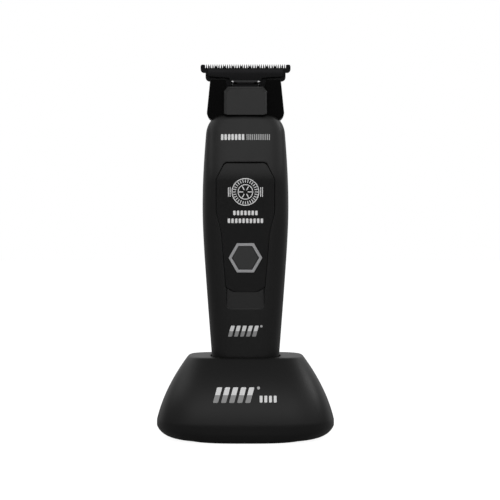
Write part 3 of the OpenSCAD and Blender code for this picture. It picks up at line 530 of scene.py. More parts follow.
TEETH, SCREWS, BARS, DIAL = tooth_tool(), screw_tool(), bar_tool(), dial_tool()


# ---------------------------------------------------------------- shape of the handle, in millimetres

def box_mm(node):
    """Lowest and highest corner of a CAD node, in millimetres."""
    return [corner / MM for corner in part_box(node)]


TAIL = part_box("front_housing")[0].z / MM
HALF_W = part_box("front_housing")[1].x / MM
FRONT = -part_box("front_housing")[0].y / MM
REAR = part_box("rear_housing")[1].y / MM
CREST = TAIL + 138.2
SHOULDER, SHOULDER_R, SHOULDER_IN = CREST - 8.2, 8.2, 5.4
LIP_R, LIP_IN = 2.6, 1.6
POWER, SPLIT, WALL = 3.4, 1.0, 2.0  # exponent of the section, y of the parting plane, wall thickness
TAIL_R = 1.2
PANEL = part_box("control_panel")
PANEL_TOP, PANEL_LOW, PANEL_HALF = PANEL[1].z / MM, PANEL[0].z / MM, PANEL[1].x / MM
SINK, PANEL_T, GAP = 1.2, 1.0, 0.15
RAMP_LOW = PANEL_LOW - 8.0
BUTTON_Z = (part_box("button_ring")[0].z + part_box("button_ring")[1].z) / 2 / MM


def easing(t, slope, soft):
    return np.sqrt(soft * soft + (slope * t) ** 2) - soft


def half_width(z):
    d = z - (CREST - 42.2)
    return HALF_W - np.where(d < 0, easing(d, 0.08, 1.385), easing(d, 0.115, 4.0))


def front_depth(z):
    return FRONT - np.where(z > CREST - 31.2, easing(z - (CREST - 31.2), 0.23, 1.0),
                            easing(np.maximum(0, CREST - 93.2 - z), 0.05, 0.5))


def rear_depth(z):
    d = z - (CREST - 49.2)
    return REAR - np.where(d > 0, easing(d, 0.13, 2.0), easing(d, 0.025, 0.5))


def ends(z, height=SHOULDER_R, inward=SHOULDER_IN):
    """How far the shoulders and the tail's rounded edge draw the section in."""
    u = np.clip((z - CREST + height) / height, 0, 1)
    v = np.clip(TAIL + TAIL_R - z, 0, TAIL_R)
    return inward * (1 - np.sqrt(1 - u * u)) + TAIL_R - np.sqrt(TAIL_R * TAIL_R - v * v)


def front_ends(z):
    """The same at the front, whose upper edge has a smaller rounding."""
    return ends(z, LIP_R, LIP_IN)


def front_face(x, z):
    """y of the handle's front at x and z."""
    w, f = half_width(z) - ends(z), front_depth(z) - front_ends(z)
    return -f * (1 - np.minimum(np.abs(x) / w, 1) ** POWER) ** (1 / POWER)


def panel_corners(gap=0.0):
    return mirrored([(PANEL_HALF - 3.9 + gap, PANEL_TOP + gap, 2.4), (PANEL_HALF + gap, PANEL_TOP - 7.4, 3),
                     (PANEL_HALF + gap, PANEL_TOP - 22.6, 8), (PANEL_HALF - 2.3 + gap, PANEL_TOP - 32, 12),
                     (PANEL_HALF - 4.4 + gap, PANEL_LOW + 2.2 - gap, 0.9), (PANEL_HALF - 8.2, PANEL_LOW - gap, 4)])


# Distances from the recess's outline at which its rolled edge has a row or a column of points
RIM_STEPS = np.array([0.42, 0.2, 0.06, -0.03, -0.1, -0.16, -0.5])
# Recess in the front: the panel's pocket and the thumb ramp below it, as one outline
RECESS_TOP = PANEL_TOP + 0.35
RECESS = rounded(mirrored([
    (PANEL_HALF - 3.9 + GAP, RECESS_TOP, 2.4), (PANEL_HALF + GAP, PANEL_TOP - 7.4, 3),
    (PANEL_HALF + GAP, PANEL_TOP - 22.6, 8), (PANEL_HALF - 2.3 + GAP, PANEL_TOP - 32, 12),
    (PANEL_HALF - 4.4 + GAP, PANEL_LOW + 1.9, 0.4), (PANEL_HALF - 4.55, PANEL_LOW + 1.5, 0.2),
    (PANEL_HALF - 4.65, RAMP_LOW, 2.2)]), 10)


def recess_half(z):
    """Half width of the recess at height z, held at its ends above and below it."""
    side = RECESS[RECESS[:, 0] > 1e-6]
    side = side[np.argsort(side[:, 1])]
    return np.interp(z, side[:, 1], side[:, 0])


def outline_distance(x, z, outline):
    """Distance from each point to the outline, negative inside."""
    a, b = outline, np.roll(outline, -1, 0)
    p = np.stack([x.ravel(), z.ravel()], 1)[:, None, :]
    ab = (b - a)[None]
    t = np.clip(((p - a[None]) * ab).sum(2) / (ab ** 2).sum(2), 0, 1)
    near = np.sqrt((((p - a[None]) - t[..., None] * ab) ** 2).sum(2)).min(1)
    over = ((a[None, :, 1] > p[..., 1]) != (b[None, :, 1] > p[..., 1]))
    cross = a[None, :, 0] + (p[..., 1] - a[None, :, 1]) / np.where(ab[..., 1] == 0, 1, ab[..., 1]) * ab[..., 0]
    inside = (over & (p[..., 0] < cross)).sum(1) % 2 == 1
    return np.where(inside, -near, near).reshape(x.shape)


def recess_depth(x, z):
    """Depth of the recess below the handle's crest, with a rolled upper edge."""
    d = outline_distance(x, z, RECESS)
    below_panel = np.clip(outline_distance(x, z, rounded(panel_corners(GAP), 8)) / 0.1 + 1, 0, 1)
    ramp = np.interp(z, [RAMP_LOW, PANEL_LOW + 2], [0.3, 1.9])
    full = (SINK + PANEL_T) * (1 - below_panel) + ramp * below_panel
    slope = np.interp(d, [-0.16, -0.1, -0.03, 0.06, 0.2, 0.42], [1, 0.93, 0.3, 0.08, 0.015, 0])
    return full * slope


def handle_levels(dense):
    """Heights of the handle's rows: close together at the recess, the tail and the shoulders."""
    rows = [TAIL + TAIL_R - TAIL_R * math.cos(a) for a in np.linspace(0, math.pi / 2, 6)]
    rows += list(np.arange(TAIL + 2, SHOULDER - 0.5, 1.0))
    rows += [SHOULDER + SHOULDER_R * math.sin(a) for a in np.linspace(0, math.pi / 2, 26)]
    rows += [CREST - LIP_R + LIP_R * math.sin(a) for a in np.linspace(0, 1.5, 12)]
    if dense:
        rows = [z for z in rows if not (PANEL_TOP - 2.6 < z < PANEL_TOP + 0.8 or RAMP_LOW - 0.8 < z < RAMP_LOW + 2.2)]
        rows += list(RECESS_TOP + RIM_STEPS) + list(np.arange(PANEL_TOP - 2.5, PANEL_TOP - 0.5, 0.18))
        rows += list(RAMP_LOW - RIM_STEPS) + list(np.arange(RAMP_LOW + 0.6, RAMP_LOW + 2.3, 0.2))
        rows += list(np.arange(PANEL_LOW - 0.3, PANEL_LOW + 2.8, 0.15))
    rows = sorted(z for z in rows if z < CREST - 0.06) + [CREST]
    return np.array([z for z, lower in zip(rows, [-1] + rows) if z - lower > 0.025])


def half_row(z, front):
    """x and y of one row from the parting plane to the middle, on the +X side, outside and inside."""
    near_split = np.array([0.0, 0.07, 0.2, 0.45])
    sign = -1 if front else 1
    w, back = half_width(z) - ends(z), rear_depth(z) - ends(z)
    d = front_depth(z) - front_ends(z) if front else back
    side = np.concatenate([SPLIT + sign * near_split, np.linspace(0 if front else 2, sign * 0.83 * d, 18)])
    depth_of = np.where(side < 0, d, back)
    side_x = w * (1 - (np.abs(side) / depth_of) ** POWER) ** (1 / POWER)
    side_x[:4] -= np.array([0.16, 0.06, 0.012, 0])
    if front:
        q = min(float(recess_half(z)), 0.74 * w)
        edge = q + RIM_STEPS
        flat = np.concatenate([np.linspace(0.8 * w, edge[0], 8)[1:-1], edge, np.linspace(edge[-1], 0, 11)[1:]])
    else:
        flat = np.linspace(0.8 * w, 0, 20)[1:]
    flat_y = sign * d * (1 - (flat / w) ** POWER) ** (1 / POWER)
    x, y = np.concatenate([side_x, flat]), np.concatenate([side, flat_y])
    u = np.clip((z - SHOULDER) / SHOULDER_R, 0, 1)
    z_in = z if z < SHOULDER else SHOULDER + (SHOULDER_R - WALL) * u
    z_in = max(z_in, TAIL)
    skin = SINK + PANEL_T + 1 if front and z < PANEL_TOP + 1.5 else WALL
    w_in, d_in = w - WALL, d - (skin if front else WALL)
    x_in = x * w_in / w
    y_in = SPLIT + (y - SPLIT) * (sign * d_in - SPLIT) / (sign * d - SPLIT)
    return x, y, x_in, y_in, z_in


def handle_half(name, front):
    """Front or rear half of the handle, as a closed shell with its inner wall."""
    levels = handle_levels(front)
    outer, inner = [], []
    for z in levels:
        x, y, x_in, y_in, z_in = half_row(z, front)
        whole = lambda a, flip: np.concatenate([a, flip * a[-2::-1]])
        outer.append(np.stack([whole(x, -1), whole(y, 1), np.full(2 * len(x) - 1, z)], 1))
        inner.append(np.stack([whole(x_in, -1), whole(y_in, 1), np.full(2 * len(x) - 1, z_in)], 1))
    outer, inner = np.array(outer), np.array(inner)
    if front:
        faces_front = outer[..., 1] < -2
        outer[..., 1] += np.where(faces_front, recess_depth(outer[..., 0], outer[..., 2]), 0)
    rows, n = outer.shape[:2]
    base = rows * n
    faces = []
    for j in range(rows - 1):
        for i in range(n - 1):
            a = j * n + i
            faces.append((a, a + 1, a + n + 1, a + n))
            faces.append((base + a, base + a + n, base + a + n + 1, base + a + 1))
        for i in (0, n - 1):
            a = j * n + i
            faces.append((a, a + n, base + a + n, base + a))
    for i in range(n - 1):
        faces.append((i, base + i, base + i + 1, i + 1))
    top = (rows - 1) * n
    faces += [list(range(top, top + n)), list(range(base + top, base + top + n)),
              (top, top + n - 1, base + top + n - 1, base + top)]
    return solid(name, np.concatenate([outer.reshape(-1, 3), inner.reshape(-1, 3)]), faces)


# ---------------------------------------------------------------- the handle

carrier_low, carrier_high = box_mm("blade_carrier")
NECK_LOW, NECK_TOP = CREST - 2, carrier_high.z
NECK_W, NECK_TOP_W = 18.1, 16.45


def neck_outline(grow=0.0):
    return rounded(mirrored([(NECK_TOP_W + grow, NECK_TOP + grow, 1), (NECK_W + grow, CREST + 0.8, 2.5),
                             (NECK_W - 1.6 + grow, NECK_LOW - grow, 3.4)]), 10)


def block(name, x, y, z):
    """A box from pairs of limits."""
    return prism(name, [(x[0], z[0]), (x[1], z[0]), (x[1], z[1]), (x[0], z[1])], y[0], y[1])


def head_opening():
    """Solids that make room in the handle's top for the neck and its two legs."""
    room_y = (-5.15, 6.7)
    return [prism("saddle", neck_outline(GAP), *room_y),
            block("legs", (-13.6, 13.6), room_y, (SHOULDER - 1, CREST - 1))]


def screw_spots():
    """Middle of each housing screw's head, at its outer end: across, up and back."""
    seat = box_mm("housing_screws")[1].y
    return [(s * x, z, seat) for s in (-1, 1) for x, z in ((11, TAIL + 37), (13.4, CREST - 22))]


case_front = handle_half("handle_front", True)
cut(case_front, *head_opening(),
    prism("way", shifted(hexagon(6.3), 0, BUTTON_Z), -FRONT - 1, -FRONT + 5))
smooth(case_front, 40).data.materials.append(FINISHES["housing"])
finish_piece(case_front, "trimmer", "housing", "front_housing")

case_rear = handle_half("handle_rear", False)
cut(case_rear, *head_opening(),
    *[prism("bore", shifted(disc(2.05), x, z), 6.5, REAR + 1) for x, z, _ in screw_spots()])
smooth(case_rear, 40).data.materials.append(FINISHES["housing"])
finish_piece(case_rear, "trimmer", "housing", "rear_housing")


def screws(name, spots, body, facing, *nodes, radius=1.9, height=1.5, socket=0.75):
    """Screw heads at spots (across, up, seat), looking to the rear or down."""
    turn = Matrix.Rotation(math.radians(-90), 4, "X") if facing == "rear" else Matrix.Rotation(math.pi, 4, "X")
    points = [(x, -z, seat) if facing == "rear" else (x, -z, -seat) for x, z, seat in spots]
    heads = SCREWS.make(name, FINISHES["steel"], points, turn, **{
        "Head Radius": radius * MM, "Head Height": height * MM, "Rim": 0.35 * MM, "Socket Radius": socket * MM,
        "Socket Depth": height * 0.5 * MM, "Socket Sides": 6})
    return finish_piece(smooth(heads, 30), body, "steel", *nodes)


screws("case_screws", [(x, z, y - 1.5) for x, z, y in screw_spots()], "trimmer", "rear", "housing_screws")

# Panel let into the front, and the button in its ring
panel_y = -(FRONT - SINK)
face = prism("front_panel", rounded(panel_corners(), 10), panel_y, panel_y + PANEL_T, FINISHES["panel"])
cut(face, prism("way", shifted(hexagon(7.1), 0, BUTTON_Z), panel_y - 1, panel_y + 3))
slice_levels(face, list(np.arange(PANEL_LOW + 0.45, PANEL_TOP, 0.9)))
reshape(face, lambda x, y, z: (x, y + FRONT - front_depth(z), z))
finish_piece(bevelled(face, 0.18, 3), "trimmer", "panel", "control_panel")

ring = prism("hex_ring", shifted(hexagon(7.75), 0, BUTTON_Z), panel_y - 0.4, panel_y + PANEL_T,
             FINISHES["button_metal"])
cut(ring, prism("bore", shifted(hexagon(6.25), 0, BUTTON_Z), panel_y - 2, panel_y + 3))
finish_piece(bevelled(ring, 0.13, 3), "trimmer", "button_metal", "button_ring")

button = prism("hex_button", shifted(rounded([(x, y, 0.3) for x, y in hexagon(6.1)], 3), 0, BUTTON_Z),
               panel_y - 0.3, panel_y + 2.0, FINISHES["button_cap"])
flange = prism("flange", shifted(hexagon(7.25), 0, BUTTON_Z), panel_y + 2.06, panel_y + 2.98,
               FINISHES["button_cap"])
bevelled(button, 0.35, 4)
joined("hex_button", button, flange)
finish_piece(crisp(button, 35), "button", "button_cap", "power_button")


# ---------------------------------------------------------------- the head

NECK_FRONT, NECK_BACK = carrier_low.y, carrier_high.y
neck = prism("neck_carrier", neck_outline(), NECK_FRONT, NECK_BACK, FINISHES["carrier"])
BRIDGE_TOP, PIVOT = CREST + 4.3, CREST + 1.3


cut(neck, block("channel", (-9.3, 9.3), (-20, 20), (BRIDGE_TOP, CREST + 30)),
    block("window", (-7, 7), (-20, 1.2), (NECK_LOW - 3, BRIDGE_TOP + 1)),
    block("crank room", (-7, 7), (-20, 20), (NECK_LOW - 3, PIVOT - 2.4)))
bevelled(neck, 0.5, 4)
for side in (-1, 1):
    leg = block("leg", sorted((side * 7.3, side * 13.3)), (-4, NECK_BACK - 0.5), (carrier_low.z, NECK_LOW + 1))
    leg.data.materials.append(FINISHES["carrier"])
    joined("neck_carrier", neck, leg)
finish_piece(crisp(neck, 30), "trimmer", "carrier", "blade_carrier")

# Cover over the lever: a leaning face with bevelled edges
cover_low, cover_high = box_mm("drive_cover")


def cover_ring(inset_side, inset_top, inset_low, y, lean=2.3):
    """Outline of the cover at depth y, which leans back by lean from its lower to its upper edge."""
    top, low, half = cover_high.z - inset_top, cover_low.z + inset_low, cover_high.x - inset_side
    line = rounded(mirrored([(half, low, 0.5), (half, top - 2.1, 0.7), (half - 1.75, top, 0.6)]), 5)
    share = (line[:, 1] - cover_low.z) / (cover_high.z - cover_low.z)
    return np.stack([line[:, 0], y + lean * share, line[:, 1]], 1)


# Insets at the side, the top and the bottom, and the depth behind the cover's front, from its wall to its face
BEVEL = [(0, 0, 0, 1.5), (0.06, 0.05, 0.03, 1.33), (0.16, 0.12, 0.06, 1.2), (1.1, 1.0, -0.3, 0.16),
         (1.22, 1.1, -0.26, 0.06), (1.4, 1.3, -0.16, 0)]
skin = [cover_ring(0, 0, 0, cover_high.y, 0)] + [cover_ring(*inset, cover_low.y + back) for *inset, back in BEVEL]
cap = tube("cover_cap", np.array(skin), FINISHES["cover"])
finish_piece(crisp(cap, 24), "trimmer", "cover", "drive_cover")

# Spring of bent wire: two legs, two bends and a crossbar
wire_low, wire_high = box_mm("tension_spring")
WIRE_R = (wire_high.y - wire_low.y) / 2
bar_x, bar_z, bend = wire_high.x - WIRE_R, wire_high.z - WIRE_R, 1.2
right_bend = [(bar_x - bend + bend * math.cos(a), bar_z - bend + bend * math.sin(a))
              for a in np.linspace(0, math.pi / 2, 12)]
path = [(bar_x, wire_low.z)] + [(bar_x, bar_z - h) for h in np.linspace(4, bend + 0.1, 24)] + right_bend
path += [(-x, z) for x, z in reversed(path)]
rings = []
for k, (x, z) in enumerate(path):
    a, b = path[max(0, k - 1)], path[min(len(path) - 1, k + 1)]
    along = np.array([b[0] - a[0], b[1] - a[1]])
    along = along / np.linalg.norm(along)
    # A waist on each leg sets off the bend and the knuckle below it
    r = WIRE_R * (1 - 0.3 * math.exp(-((bar_z - z - 0.95) / 0.3) ** 2)) if z < bar_z - 0.3 else WIRE_R
    # The crossbar is pressed flat, so it stands taller than the legs are thick
    tall = r * (1 + 0.4 * abs(along[0]) ** 3)
    rings.append([(x + tall * math.cos(t) * along[1], (wire_low.y + WIRE_R) + r * math.sin(t),
                   z - tall * math.cos(t) * along[0]) for t in np.linspace(0, 2 * math.pi, 25)[:-1]])
spring = tube("wire_spring", np.array(rings), FINISHES["wire"])


def knuckle(x, z, r):
    """A knuckle in bright steel, a painted glint, where the wire bends or where it enters the neck."""
    wide, deep = (x, r), (wire_low.y + WIRE_R - 0.12 * r, 0.85 * r)
    rounds = [[(wide[0] + wide[1] * math.sin(a) * math.cos(t), deep[0] + deep[1] * math.sin(a) * math.sin(t),
                z + r * math.cos(a)) for t in np.linspace(0, 2 * math.pi, 21)[:-1]]
              for a in np.linspace(0.08, math.pi - 0.08, 12)]
    return tube("knuckle", np.array(rounds), FINISHES["knuckle"])


# Knuckles at each bend and lower down each leg carry the painted glints
joined("wire_spring", spring, *[knuckle(s * (bar_x - dx), bar_z - dz, r) for s in (-1, 1)
                                for dx, dz, r in ((0.1, 0.1, 0.72), (0, 1.65, 0.56))])
finish_piece(smooth(spring, 50), "trimmer", "wire", "tension_spring")


# ---------------------------------------------------------------- the blades

fixed_low, fixed_high = box_mm("fixed_blade")
TIP, BLADE_HALF, TOOTH = fixed_high.z, fixed_high.x, 1.7


EDGE, SUNK = 0.4, 0.05  # thickness of the ground edge, and how far a tooth's root reaches into the plate


def ground(low_y, high_y, start, at_back):
    """Rule that grinds a plate to a thin edge from height start up to the tips."""
    def rule(x, y, z):
        share = np.clip((z - start) / (TIP - start), 0, 1)
        if at_back:
            return x, np.minimum(y, high_y - share * (high_y - low_y - EDGE)), z
        return x, np.maximum(y, low_y + share * (high_y - low_y - EDGE)), z
    return rule


def toothed_blade(name, outline, box, at_back, start, width, teeth, holes=()):
    """A flat blade, ground at its back or its front from height start up, with its row of teeth.

    width is the bevel's. teeth gives their number, pitch, width at the root and the tip, and thickness at the tip.
    """
    low, high = box
    count, pitch, root, tip, tip_t = teeth
    blade = prism(name, outline, low.y, high.y, FINISHES["blade"])
    cut(blade, *holes)
    slice_levels(blade, [start])
    reshape(blade, ground(low.y, high.y, start, at_back))
    bevelled(blade, width, 2)
    thick, root_z = high.y - low.y, high.z - TOOTH
    turn = Matrix.Translation((0, (low.y if at_back else high.y) * MM, (root_z - SUNK) * MM))
    if not at_back:
        turn = turn @ Matrix.Rotation(math.pi, 4, "Z")
    row = TEETH.make("teeth", FINISHES["blade"], turn=turn, **{
        "Count": count, "Pitch": pitch * MM, "Root Width": root * MM, "Tip Width": tip * MM,
        "Length": (TOOTH + SUNK) * MM, "Tip Depth": tip_t * MM,
        "Root Depth": (thick - (thick - EDGE) * (root_z - start) / (TIP - start)) * MM})
    return crisp(joined(name, blade, row), 25)


BLADE_SCREW_X, BLADE_SCREW_Z = 12.6, NECK_TOP - 8.1
fixed = toothed_blade("rear_blade", rounded(mirrored([
    (BLADE_HALF - 2.2, TIP - TOOTH, 0), (BLADE_HALF - 2.15, TIP - 0.15, 0.4), (BLADE_HALF, TIP, 0.9),
    (BLADE_HALF, TIP - 3.9, 1.6), (BLADE_HALF - 2.35, TIP - 3.9, 0.0), (BLADE_HALF - 2.35, NECK_TOP + 0.2, 1.9),
    (NECK_TOP_W - 0.6, NECK_TOP + 0.2, 0.3), (NECK_W - 1.3, CREST + 1, 2), (NECK_W - 3.4, NECK_LOW + 0.9, 2.6)]), 8),
    (fixed_low, fixed_high), True, TIP - 6, 0.12, (38, 1.0, 0.58, 0.22, EDGE),
    [prism("bore", shifted(disc(1.3), s * BLADE_SCREW_X, BLADE_SCREW_Z), 0, 10) for s in (-1, 1)])
finish_piece(fixed, "trimmer", "blade", "fixed_blade")
screws("rear_blade_screws", [(s * BLADE_SCREW_X, BLADE_SCREW_Z, fixed_high.y) for s in (-1, 1)], "trimmer", "rear",
       "blade_screws", height=1.2, socket=0.95)

moving_low, moving_high = box_mm("moving_blade")
M_TIP, M_HALF = moving_high.z, moving_high.x
moving = toothed_blade("front_blade", rounded(mirrored([
    (M_HALF - 0.9, M_TIP - TOOTH, 0), (M_HALF - 0.8, M_TIP, 0.2), (M_HALF, M_TIP, 0.3), (M_HALF, NECK_TOP + 2.2, 1.2),
    (7.5, NECK_TOP + 1.5, 0.8), (7.5, BRIDGE_TOP + 0.8, 0.8)]), 6),
    (moving_low, moving_high), False, TIP - 4.4, 0.1, (24, 1.333, 0.75, 0.3, 0.42))
finish_piece(moving, "cutter", "blade", "moving_blade")


# ---------------------------------------------------------------- the stand

stand_low, stand_high = box_mm("stand_shell")
STAND_W, STAND_D, STAND_H = 41.6, 34.5, stand_high.z
WIDE, ROLL, BASE, TOP_W, TOP_D = 6.0, 8.7, stand_low.z, 26.7, 18.2
PHI = np.linspace(0, 2 * math.pi, 193)[:-1]


def polar(width, front, rear, power, z):
    """Ring of points on a squared ellipse, evenly spread by angle."""
    c, s = np.cos(PHI), np.sin(PHI)
    depth = np.where(s < 0, front, rear)
    r = (np.abs(c / width) ** power + np.abs(s / depth) ** power) ** (-1 / power)
    return np.stack([r * c, r * s, np.full_like(c, z)], 1)


def stand_taper(u):
    """What the taper takes off the half width and the half depth at share u of the stand's height."""
    return (STAND_W - TOP_W) * (0.4 * u + 0.6 * u * u), (STAND_D - TOP_D) * (0.3 * u + 0.7 * u * u)


def stand_ring(z, inset=0.0):
    """Outline of the stand at height z: rolled in at the foot, widest at WIDE and tapered above it."""
    u = max(0, (z - WIDE) / (STAND_H - WIDE))
    v = max(0, min(1, (ROLL - z) / (ROLL - BASE + 0.08)))
    roll = 1 - math.sqrt(1 - v * v)
    off_w, off_d = stand_taper(u)
    w = STAND_W - 8.5 * roll - off_w - inset
    d = STAND_D - 1.3 * max(0, WIDE - z) / (WIDE - BASE) - off_d - inset
    w, d = min(w, stand_high.x - inset), min(d, stand_high.y - inset)
    return polar(w, d, d, 3.5 + 0.1 * u - 0.7 * roll, z)


def well_ring(z, gap):
    """The handle's own outline at height z, wider by gap: the wall of the well."""
    level = max(z, TAIL + TAIL_R)
    return polar(float(half_width(level)) + gap, float(front_depth(level)) + gap, float(rear_depth(level)) + gap,
                 POWER, z)


lip = stand_ring(BASE, 2.4)
rings = [lip + (0, 0, 2.15), lip + (0, 0, 0.3), stand_ring(BASE, 2.15), stand_ring(BASE, 0.35),
         stand_ring(BASE, 0.1) + (0, 0, 0.06)]
rings += [stand_ring(ROLL - (ROLL - BASE - 0.1) * math.cos(a)) for a in np.linspace(0.05, math.pi / 2, 18)]
rings += [stand_ring(z) for z in np.linspace(ROLL, STAND_H - 0.8, 40)[1:]]
rings += [stand_ring(STAND_H - 0.8 + 0.8 * math.sin(a), 0.8 * (1 - math.cos(a)))
          for a in np.linspace(0, math.pi / 2, 7)[1:]]
outer_rim, inner_rim = rings[-1], well_ring(STAND_H, 1.0)
rings += [outer_rim + (inner_rim - outer_rim) * f for f in (0.12, 0.35, 0.65, 0.9, 1.0)]
rings += [well_ring(STAND_H - 0.5 * (1 - math.cos(a)), 1.0 - 0.5 * math.sin(a))
          for a in np.linspace(0, math.pi / 2, 6)[1:]]
rings += [well_ring(z, 0.5) for z in np.linspace(STAND_H - 1.2, 11.6, 16)]
rings += [well_ring(11.1, 0.35), well_ring(10.95, -0.1)]
stand_body = tube("stand_body", np.array(rings), FINISHES["stand"])
usb_low, usb_high = box_mm("usb_socket")
usb_mid = (usb_low.z + usb_high.z) / 2


def rounded_box(half_w, half_h, r, steps):
    return rounded([(half_w, -half_h, r), (half_w, half_h, r), (-half_w, half_h, r), (-half_w, -half_h, r)], steps)


cut(stand_body, prism("inlet", shifted(rounded_box(4.62, 1.78, 1.78 * 0.96, 8), 0, usb_mid), STAND_D - 12, STAND_D + 2),
    *[prism("pin way", shifted(disc(0.75, 32), s * 4, 0), BASE + 3, 12, along="z") for s in (-1, 1)])
finish_piece(smooth(stand_body, 34), "stand", "stand", "stand_shell")

foot_high = box_mm("foot_ring")[1]


# Section of the rubber ring: how far in and how high, round its sole with its groove
SOLE = [(0, foot_high.z), (0, 0.12), (0.04, 0.03), (0.12, 0), (1.4, 0), (1.55, 0.18), (1.85, 0.18), (2, 0), (2.85, 0),
        (3.1, 0.1), (3.2, 0.35), (3.2, foot_high.z)]
rings = [polar(foot_high.x - inset, foot_high.y - inset, foot_high.y - inset, 2.99, z) for inset, z in SOLE]
foot = tube("stand_foot", np.array(rings), FINISHES["foot"], closed=True)
finish_piece(smooth(foot, 40), "stand", "foot", "foot_ring")

SCREW_X, SCREW_Y = STAND_W - 22, STAND_D - 18
corners = [(sx * SCREW_X, sy * SCREW_Y) for sx in (-1, 1) for sy in (-1, 1)]
base = tube("stand_base", np.array([stand_ring(BASE, 2.7), stand_ring(BASE, 2.62) + (0, 0, 0.15),
                                    stand_ring(BASE, 2.62) + (0, 0, 2.1)]), FINISHES["base"])
cut(base, *[prism("seat", shifted(disc(2.2, 40), x, y), 0, BASE + 1, along="z") for x, y in corners],
    prism("label seat", rounded_box(13, 8, 1.5, 5), 0, BASE + 0.25, along="z"))
finish_piece(smooth(base, 30), "stand", "base", "base_plate")
screws("base_screws", [(x, y, BASE + 0.9) for x, y in corners], "stand", "down", "stand_screws", radius=2.0,
       height=1.2, socket=1.0)


# ---------------------------------------------------------------- printed marks: plain bars and a dial

INK, LIFT = 0.08, 0.03  # height of a mark as drawn, and how far it stands out of its surface
BURIED = INK - LIFT


def printed(obj, surface):
    """Lays flat marks, drawn in the X-Y plane, on a surface that gives y at x and z."""
    ends_at = [corner[1] / MM for corner in obj.bound_box]
    slice_levels(obj, np.arange(min(ends_at) + 0.25, max(ends_at), 0.5), (0, 1, 0))
    reshape(obj, lambda x, y, z: (x, surface(x, y) + BURIED - (z > 1e-6) * INK, y))
    return obj


def bars(name, finish, surface, centre, count, pitch, width, height, corner=0.3, slant=0.0):
    made = BARS.make(name, finish, [(centre[0], centre[1], 0)], **{
        "Count": count, "Pitch": pitch * MM, "Width": width * MM, "Height": height * MM,
        "Corner": min(corner, width * 0.45, height * 0.45) * MM, "Slant": slant, "Thickness": INK * MM})
    return printed(made, surface)


def panel_face(x, z):
    return -(front_depth(z) - SINK)


def stand_face(x, z):
    """y of the stand's front at x and z, above its widest level."""
    u = (z - WIDE) / (STAND_H - WIDE)
    off_w, off_d = stand_taper(u)
    power = 3.5 + 0.1 * u
    return -(STAND_D - off_d) * (1 - (np.abs(x) / (STAND_W - off_w)) ** power) ** (1 / power)


top_print = joined("top_print", bars("left", WHITE_INK, front_face, (-5.9, CREST - 10.6), 7, 1.6, 1.12, 2.75),
                   bars("right", GREY_INK, front_face, (5.9, CREST - 10.6), 13, 0.86, 0.4, 2.75, 0.1))
finish_piece(top_print, "trimmer", "panel")

DIAL_Z = CREST - 36


def ticks(name, count, radius, length, width, line):
    made = DIAL.make(name, WHITE_INK, turn=Matrix.Translation((0, DIAL_Z * MM, INK / 2 * MM)), **{
        "Count": count, "Radius": radius * MM, "Tick Length": length * MM, "Tick Width": width * MM,
        "Line": line * MM, "Thickness": INK * MM})
    return printed(made, panel_face)


dial, hub = ticks("dial", 28, 5.0, 1.4, 0.36, 0.42), ticks("hub", 6, 2.0, 1.9, 0.42, 0.4)
lines = [bars("upper", WHITE_INK, panel_face, (0, CREST - 45.6), 7, 1.68, 1.1, 2.1),
         bars("lower", WHITE_INK, panel_face, (0, CREST - 49.2), 10, 1.68, 1.1, 2.1),
         bars("wing left", WHITE_INK, panel_face, (-7.4, DIAL_Z), 2, 0.8, 0.36, 4.4, 0.15),
         bars("wing right", WHITE_INK, panel_face, (7.4, DIAL_Z), 2, 0.8, 0.36, 4.4, 0.15)]
finish_piece(joined("panel_print", dial, hub, *lines), "trimmer", "panel")

LOW_MARK, STAND_MARK = CREST - 99.7, 21.7
handle_ink = two_tone_ink("handle two-tone print", rgb(0.85), rgb(0.3), LOW_MARK)
stand_ink = two_tone_ink("stand two-tone print", rgb(0.92), rgb(0.32), STAND_MARK)
low_print = joined("low_print",
                   bars("low bars", handle_ink, front_face, (-0.9, LOW_MARK), 5, 2.75, 1.75, 5.0, 0.3, 0.28),
                   bars("low dot", GREY_INK, front_face, (7.3, LOW_MARK + 2.2), 1, 1, 1.1, 1.1, 0.5))
finish_piece(low_print, "trimmer", "panel")
stand_print = joined("stand_print",
                     bars("bars", stand_ink, stand_face, (-5.2, STAND_MARK), 5, 3.6, 2.3, 6.6, 0.4, 0.28),
                     bars("dot", GREY_INK, stand_face, (5.9, STAND_MARK + 3.0), 1, 1, 1.3, 1.3, 0.6),
                     bars("small", WHITE_INK, stand_face, (10.2, STAND_MARK - 1.7), 4, 2.1, 1.3, 2.9, 0.3))
finish_piece(stand_print, "stand", "panel")


# ---------------------------------------------------------------- room, light and camera

def bright_floor():
    """White floor: nearly burnt out to the camera, with a faint contact shadow, and dim in reflections."""
    f = Finish("white floor")
    seen = f.node("ShaderNodeLightPath", {}, {}, "Is Camera Ray")
    matt = f.node("ShaderNodeBsdfDiffuse", {}, {"Color": rgb(0.35)})
    glow = f.node("ShaderNodeEmission", {}, {"Color": rgb(1.0), "Strength": seen * 0.93})
    f.node("ShaderNodeOutputMaterial", {}, {"Surface": f.node("ShaderNodeAddShader", {}, {0: matt, 1: glow})})
    return f.material


floor_mesh = bpy.data.meshes.new("floor")
floor_mesh.from_pydata([(-9, -9, 0), (9, -9, 0), (9, 9, 0), (-9, 9, 0)], [], [(0, 1, 2, 3)])
floor = link("floor", floor_mesh, bright_floor())

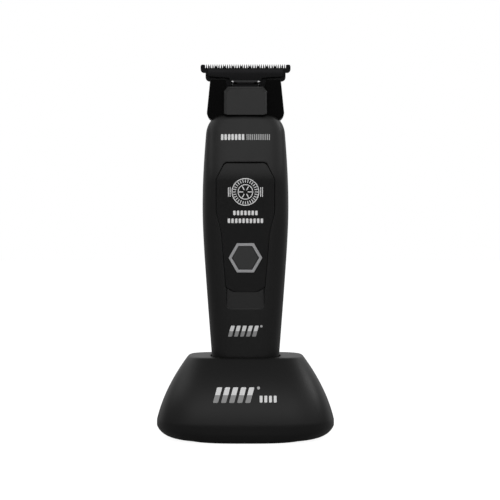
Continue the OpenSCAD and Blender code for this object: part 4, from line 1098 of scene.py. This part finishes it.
world = bpy.data.worlds.new("studio")
bpy.context.scene.world = world
world.use_nodes = True
world.node_tree.nodes.clear()
sky = Graph(world.node_tree)
towards = sky.node("ShaderNodeTexCoord", {}, {}, "Generated")
side, depth, height = (sky.node("ShaderNodeSeparateXYZ", {}, {"Vector": towards}, axis) for axis in "XYZ")
backdrop = depth.smooth(0.25, 0.95)
front = 1 - depth.smooth(-0.3, 0.3)
left_flag = (0 - side).smooth(0.55, 0.8) * height.smooth(0.3, 0.45) * (1 - height.smooth(0.62, 0.75))
band = height.smooth(0.12, 0.5) * (1 - height.smooth(0.55, 0.95) * 0.85) * front * (1 - left_flag * 0.9)
rear_band = height.smooth(0.3, 0.55) * (1 - height.smooth(0.65, 0.95) * 0.85) * depth.smooth(-0.1, 0.3)
wings = abs(side).smooth(0.35, 0.75) * height.smooth(0.45, 0.62) * front
seen = sky.node("ShaderNodeLightPath", {}, {}, "Is Camera Ray")
level = (seen + (1 - seen) * (0.17 + backdrop * 0.26 + band * 0.5 + wings * 0.14 + rear_band * 0.5)).clamp()
light = sky.node("ShaderNodeBackground", {}, {"Color": rgb(1.0), "Strength": level})
sky.node("ShaderNodeOutputWorld", {}, {"Surface": light})


def softbox(name, spot, aim, width, height, watts):
    lamp = bpy.data.lights.new(name, "AREA")
    lamp.shape, lamp.size, lamp.size_y, lamp.energy = "RECTANGLE", width, height, watts
    holder = bpy.data.objects.new(name, lamp)
    bpy.context.scene.collection.objects.link(holder)
    holder.location = spot
    holder.rotation_euler = (Vector(aim) - Vector(spot)).to_track_quat("-Z", "Y").to_euler()
    holder.visible_camera = False
    return holder


softbox("front softbox", (0.0, -0.75, 0.62), (0, 0, 0.1), 1.1, 0.4, 0.7)
softbox("right softbox", (0.72, 0.16, 0.56), (0, 0, 0.03), 0.3, 0.3, 0.5)
softbox("left softbox", (-0.72, 0.18, 0.58), (0, 0, 0.03), 0.26, 0.26, 0.1)
softbox("left card", (-0.24, -0.035, 0.25), (-0.016, -0.01, 0.14), 0.12, 0.12, 0.03)
softbox("right card", (0.24, -0.035, 0.25), (0.016, -0.01, 0.14), 0.12, 0.12, 0.012)
# Flat light on the front, kept out of the reflections
softbox("front fill", (0.0, -1.0, 0.3), (0, 0, 0.08), 0.7, 0.5, 3.6).visible_glossy = False

bpy.context.scene.view_settings.view_transform = "Standard"
camera = bpy.data.cameras.new("camera")
camera.lens, camera.sensor_width = 91.9, 36
camera.clip_start, camera.clip_end = 0.02, 40
eye = bpy.data.objects.new("camera", camera)
bpy.context.scene.collection.objects.link(eye)
eye.location = (0.0021, -0.6, 0.0866)
eye.rotation_euler = (math.pi / 2, 0, 0)
bpy.context.scene.camera = eye
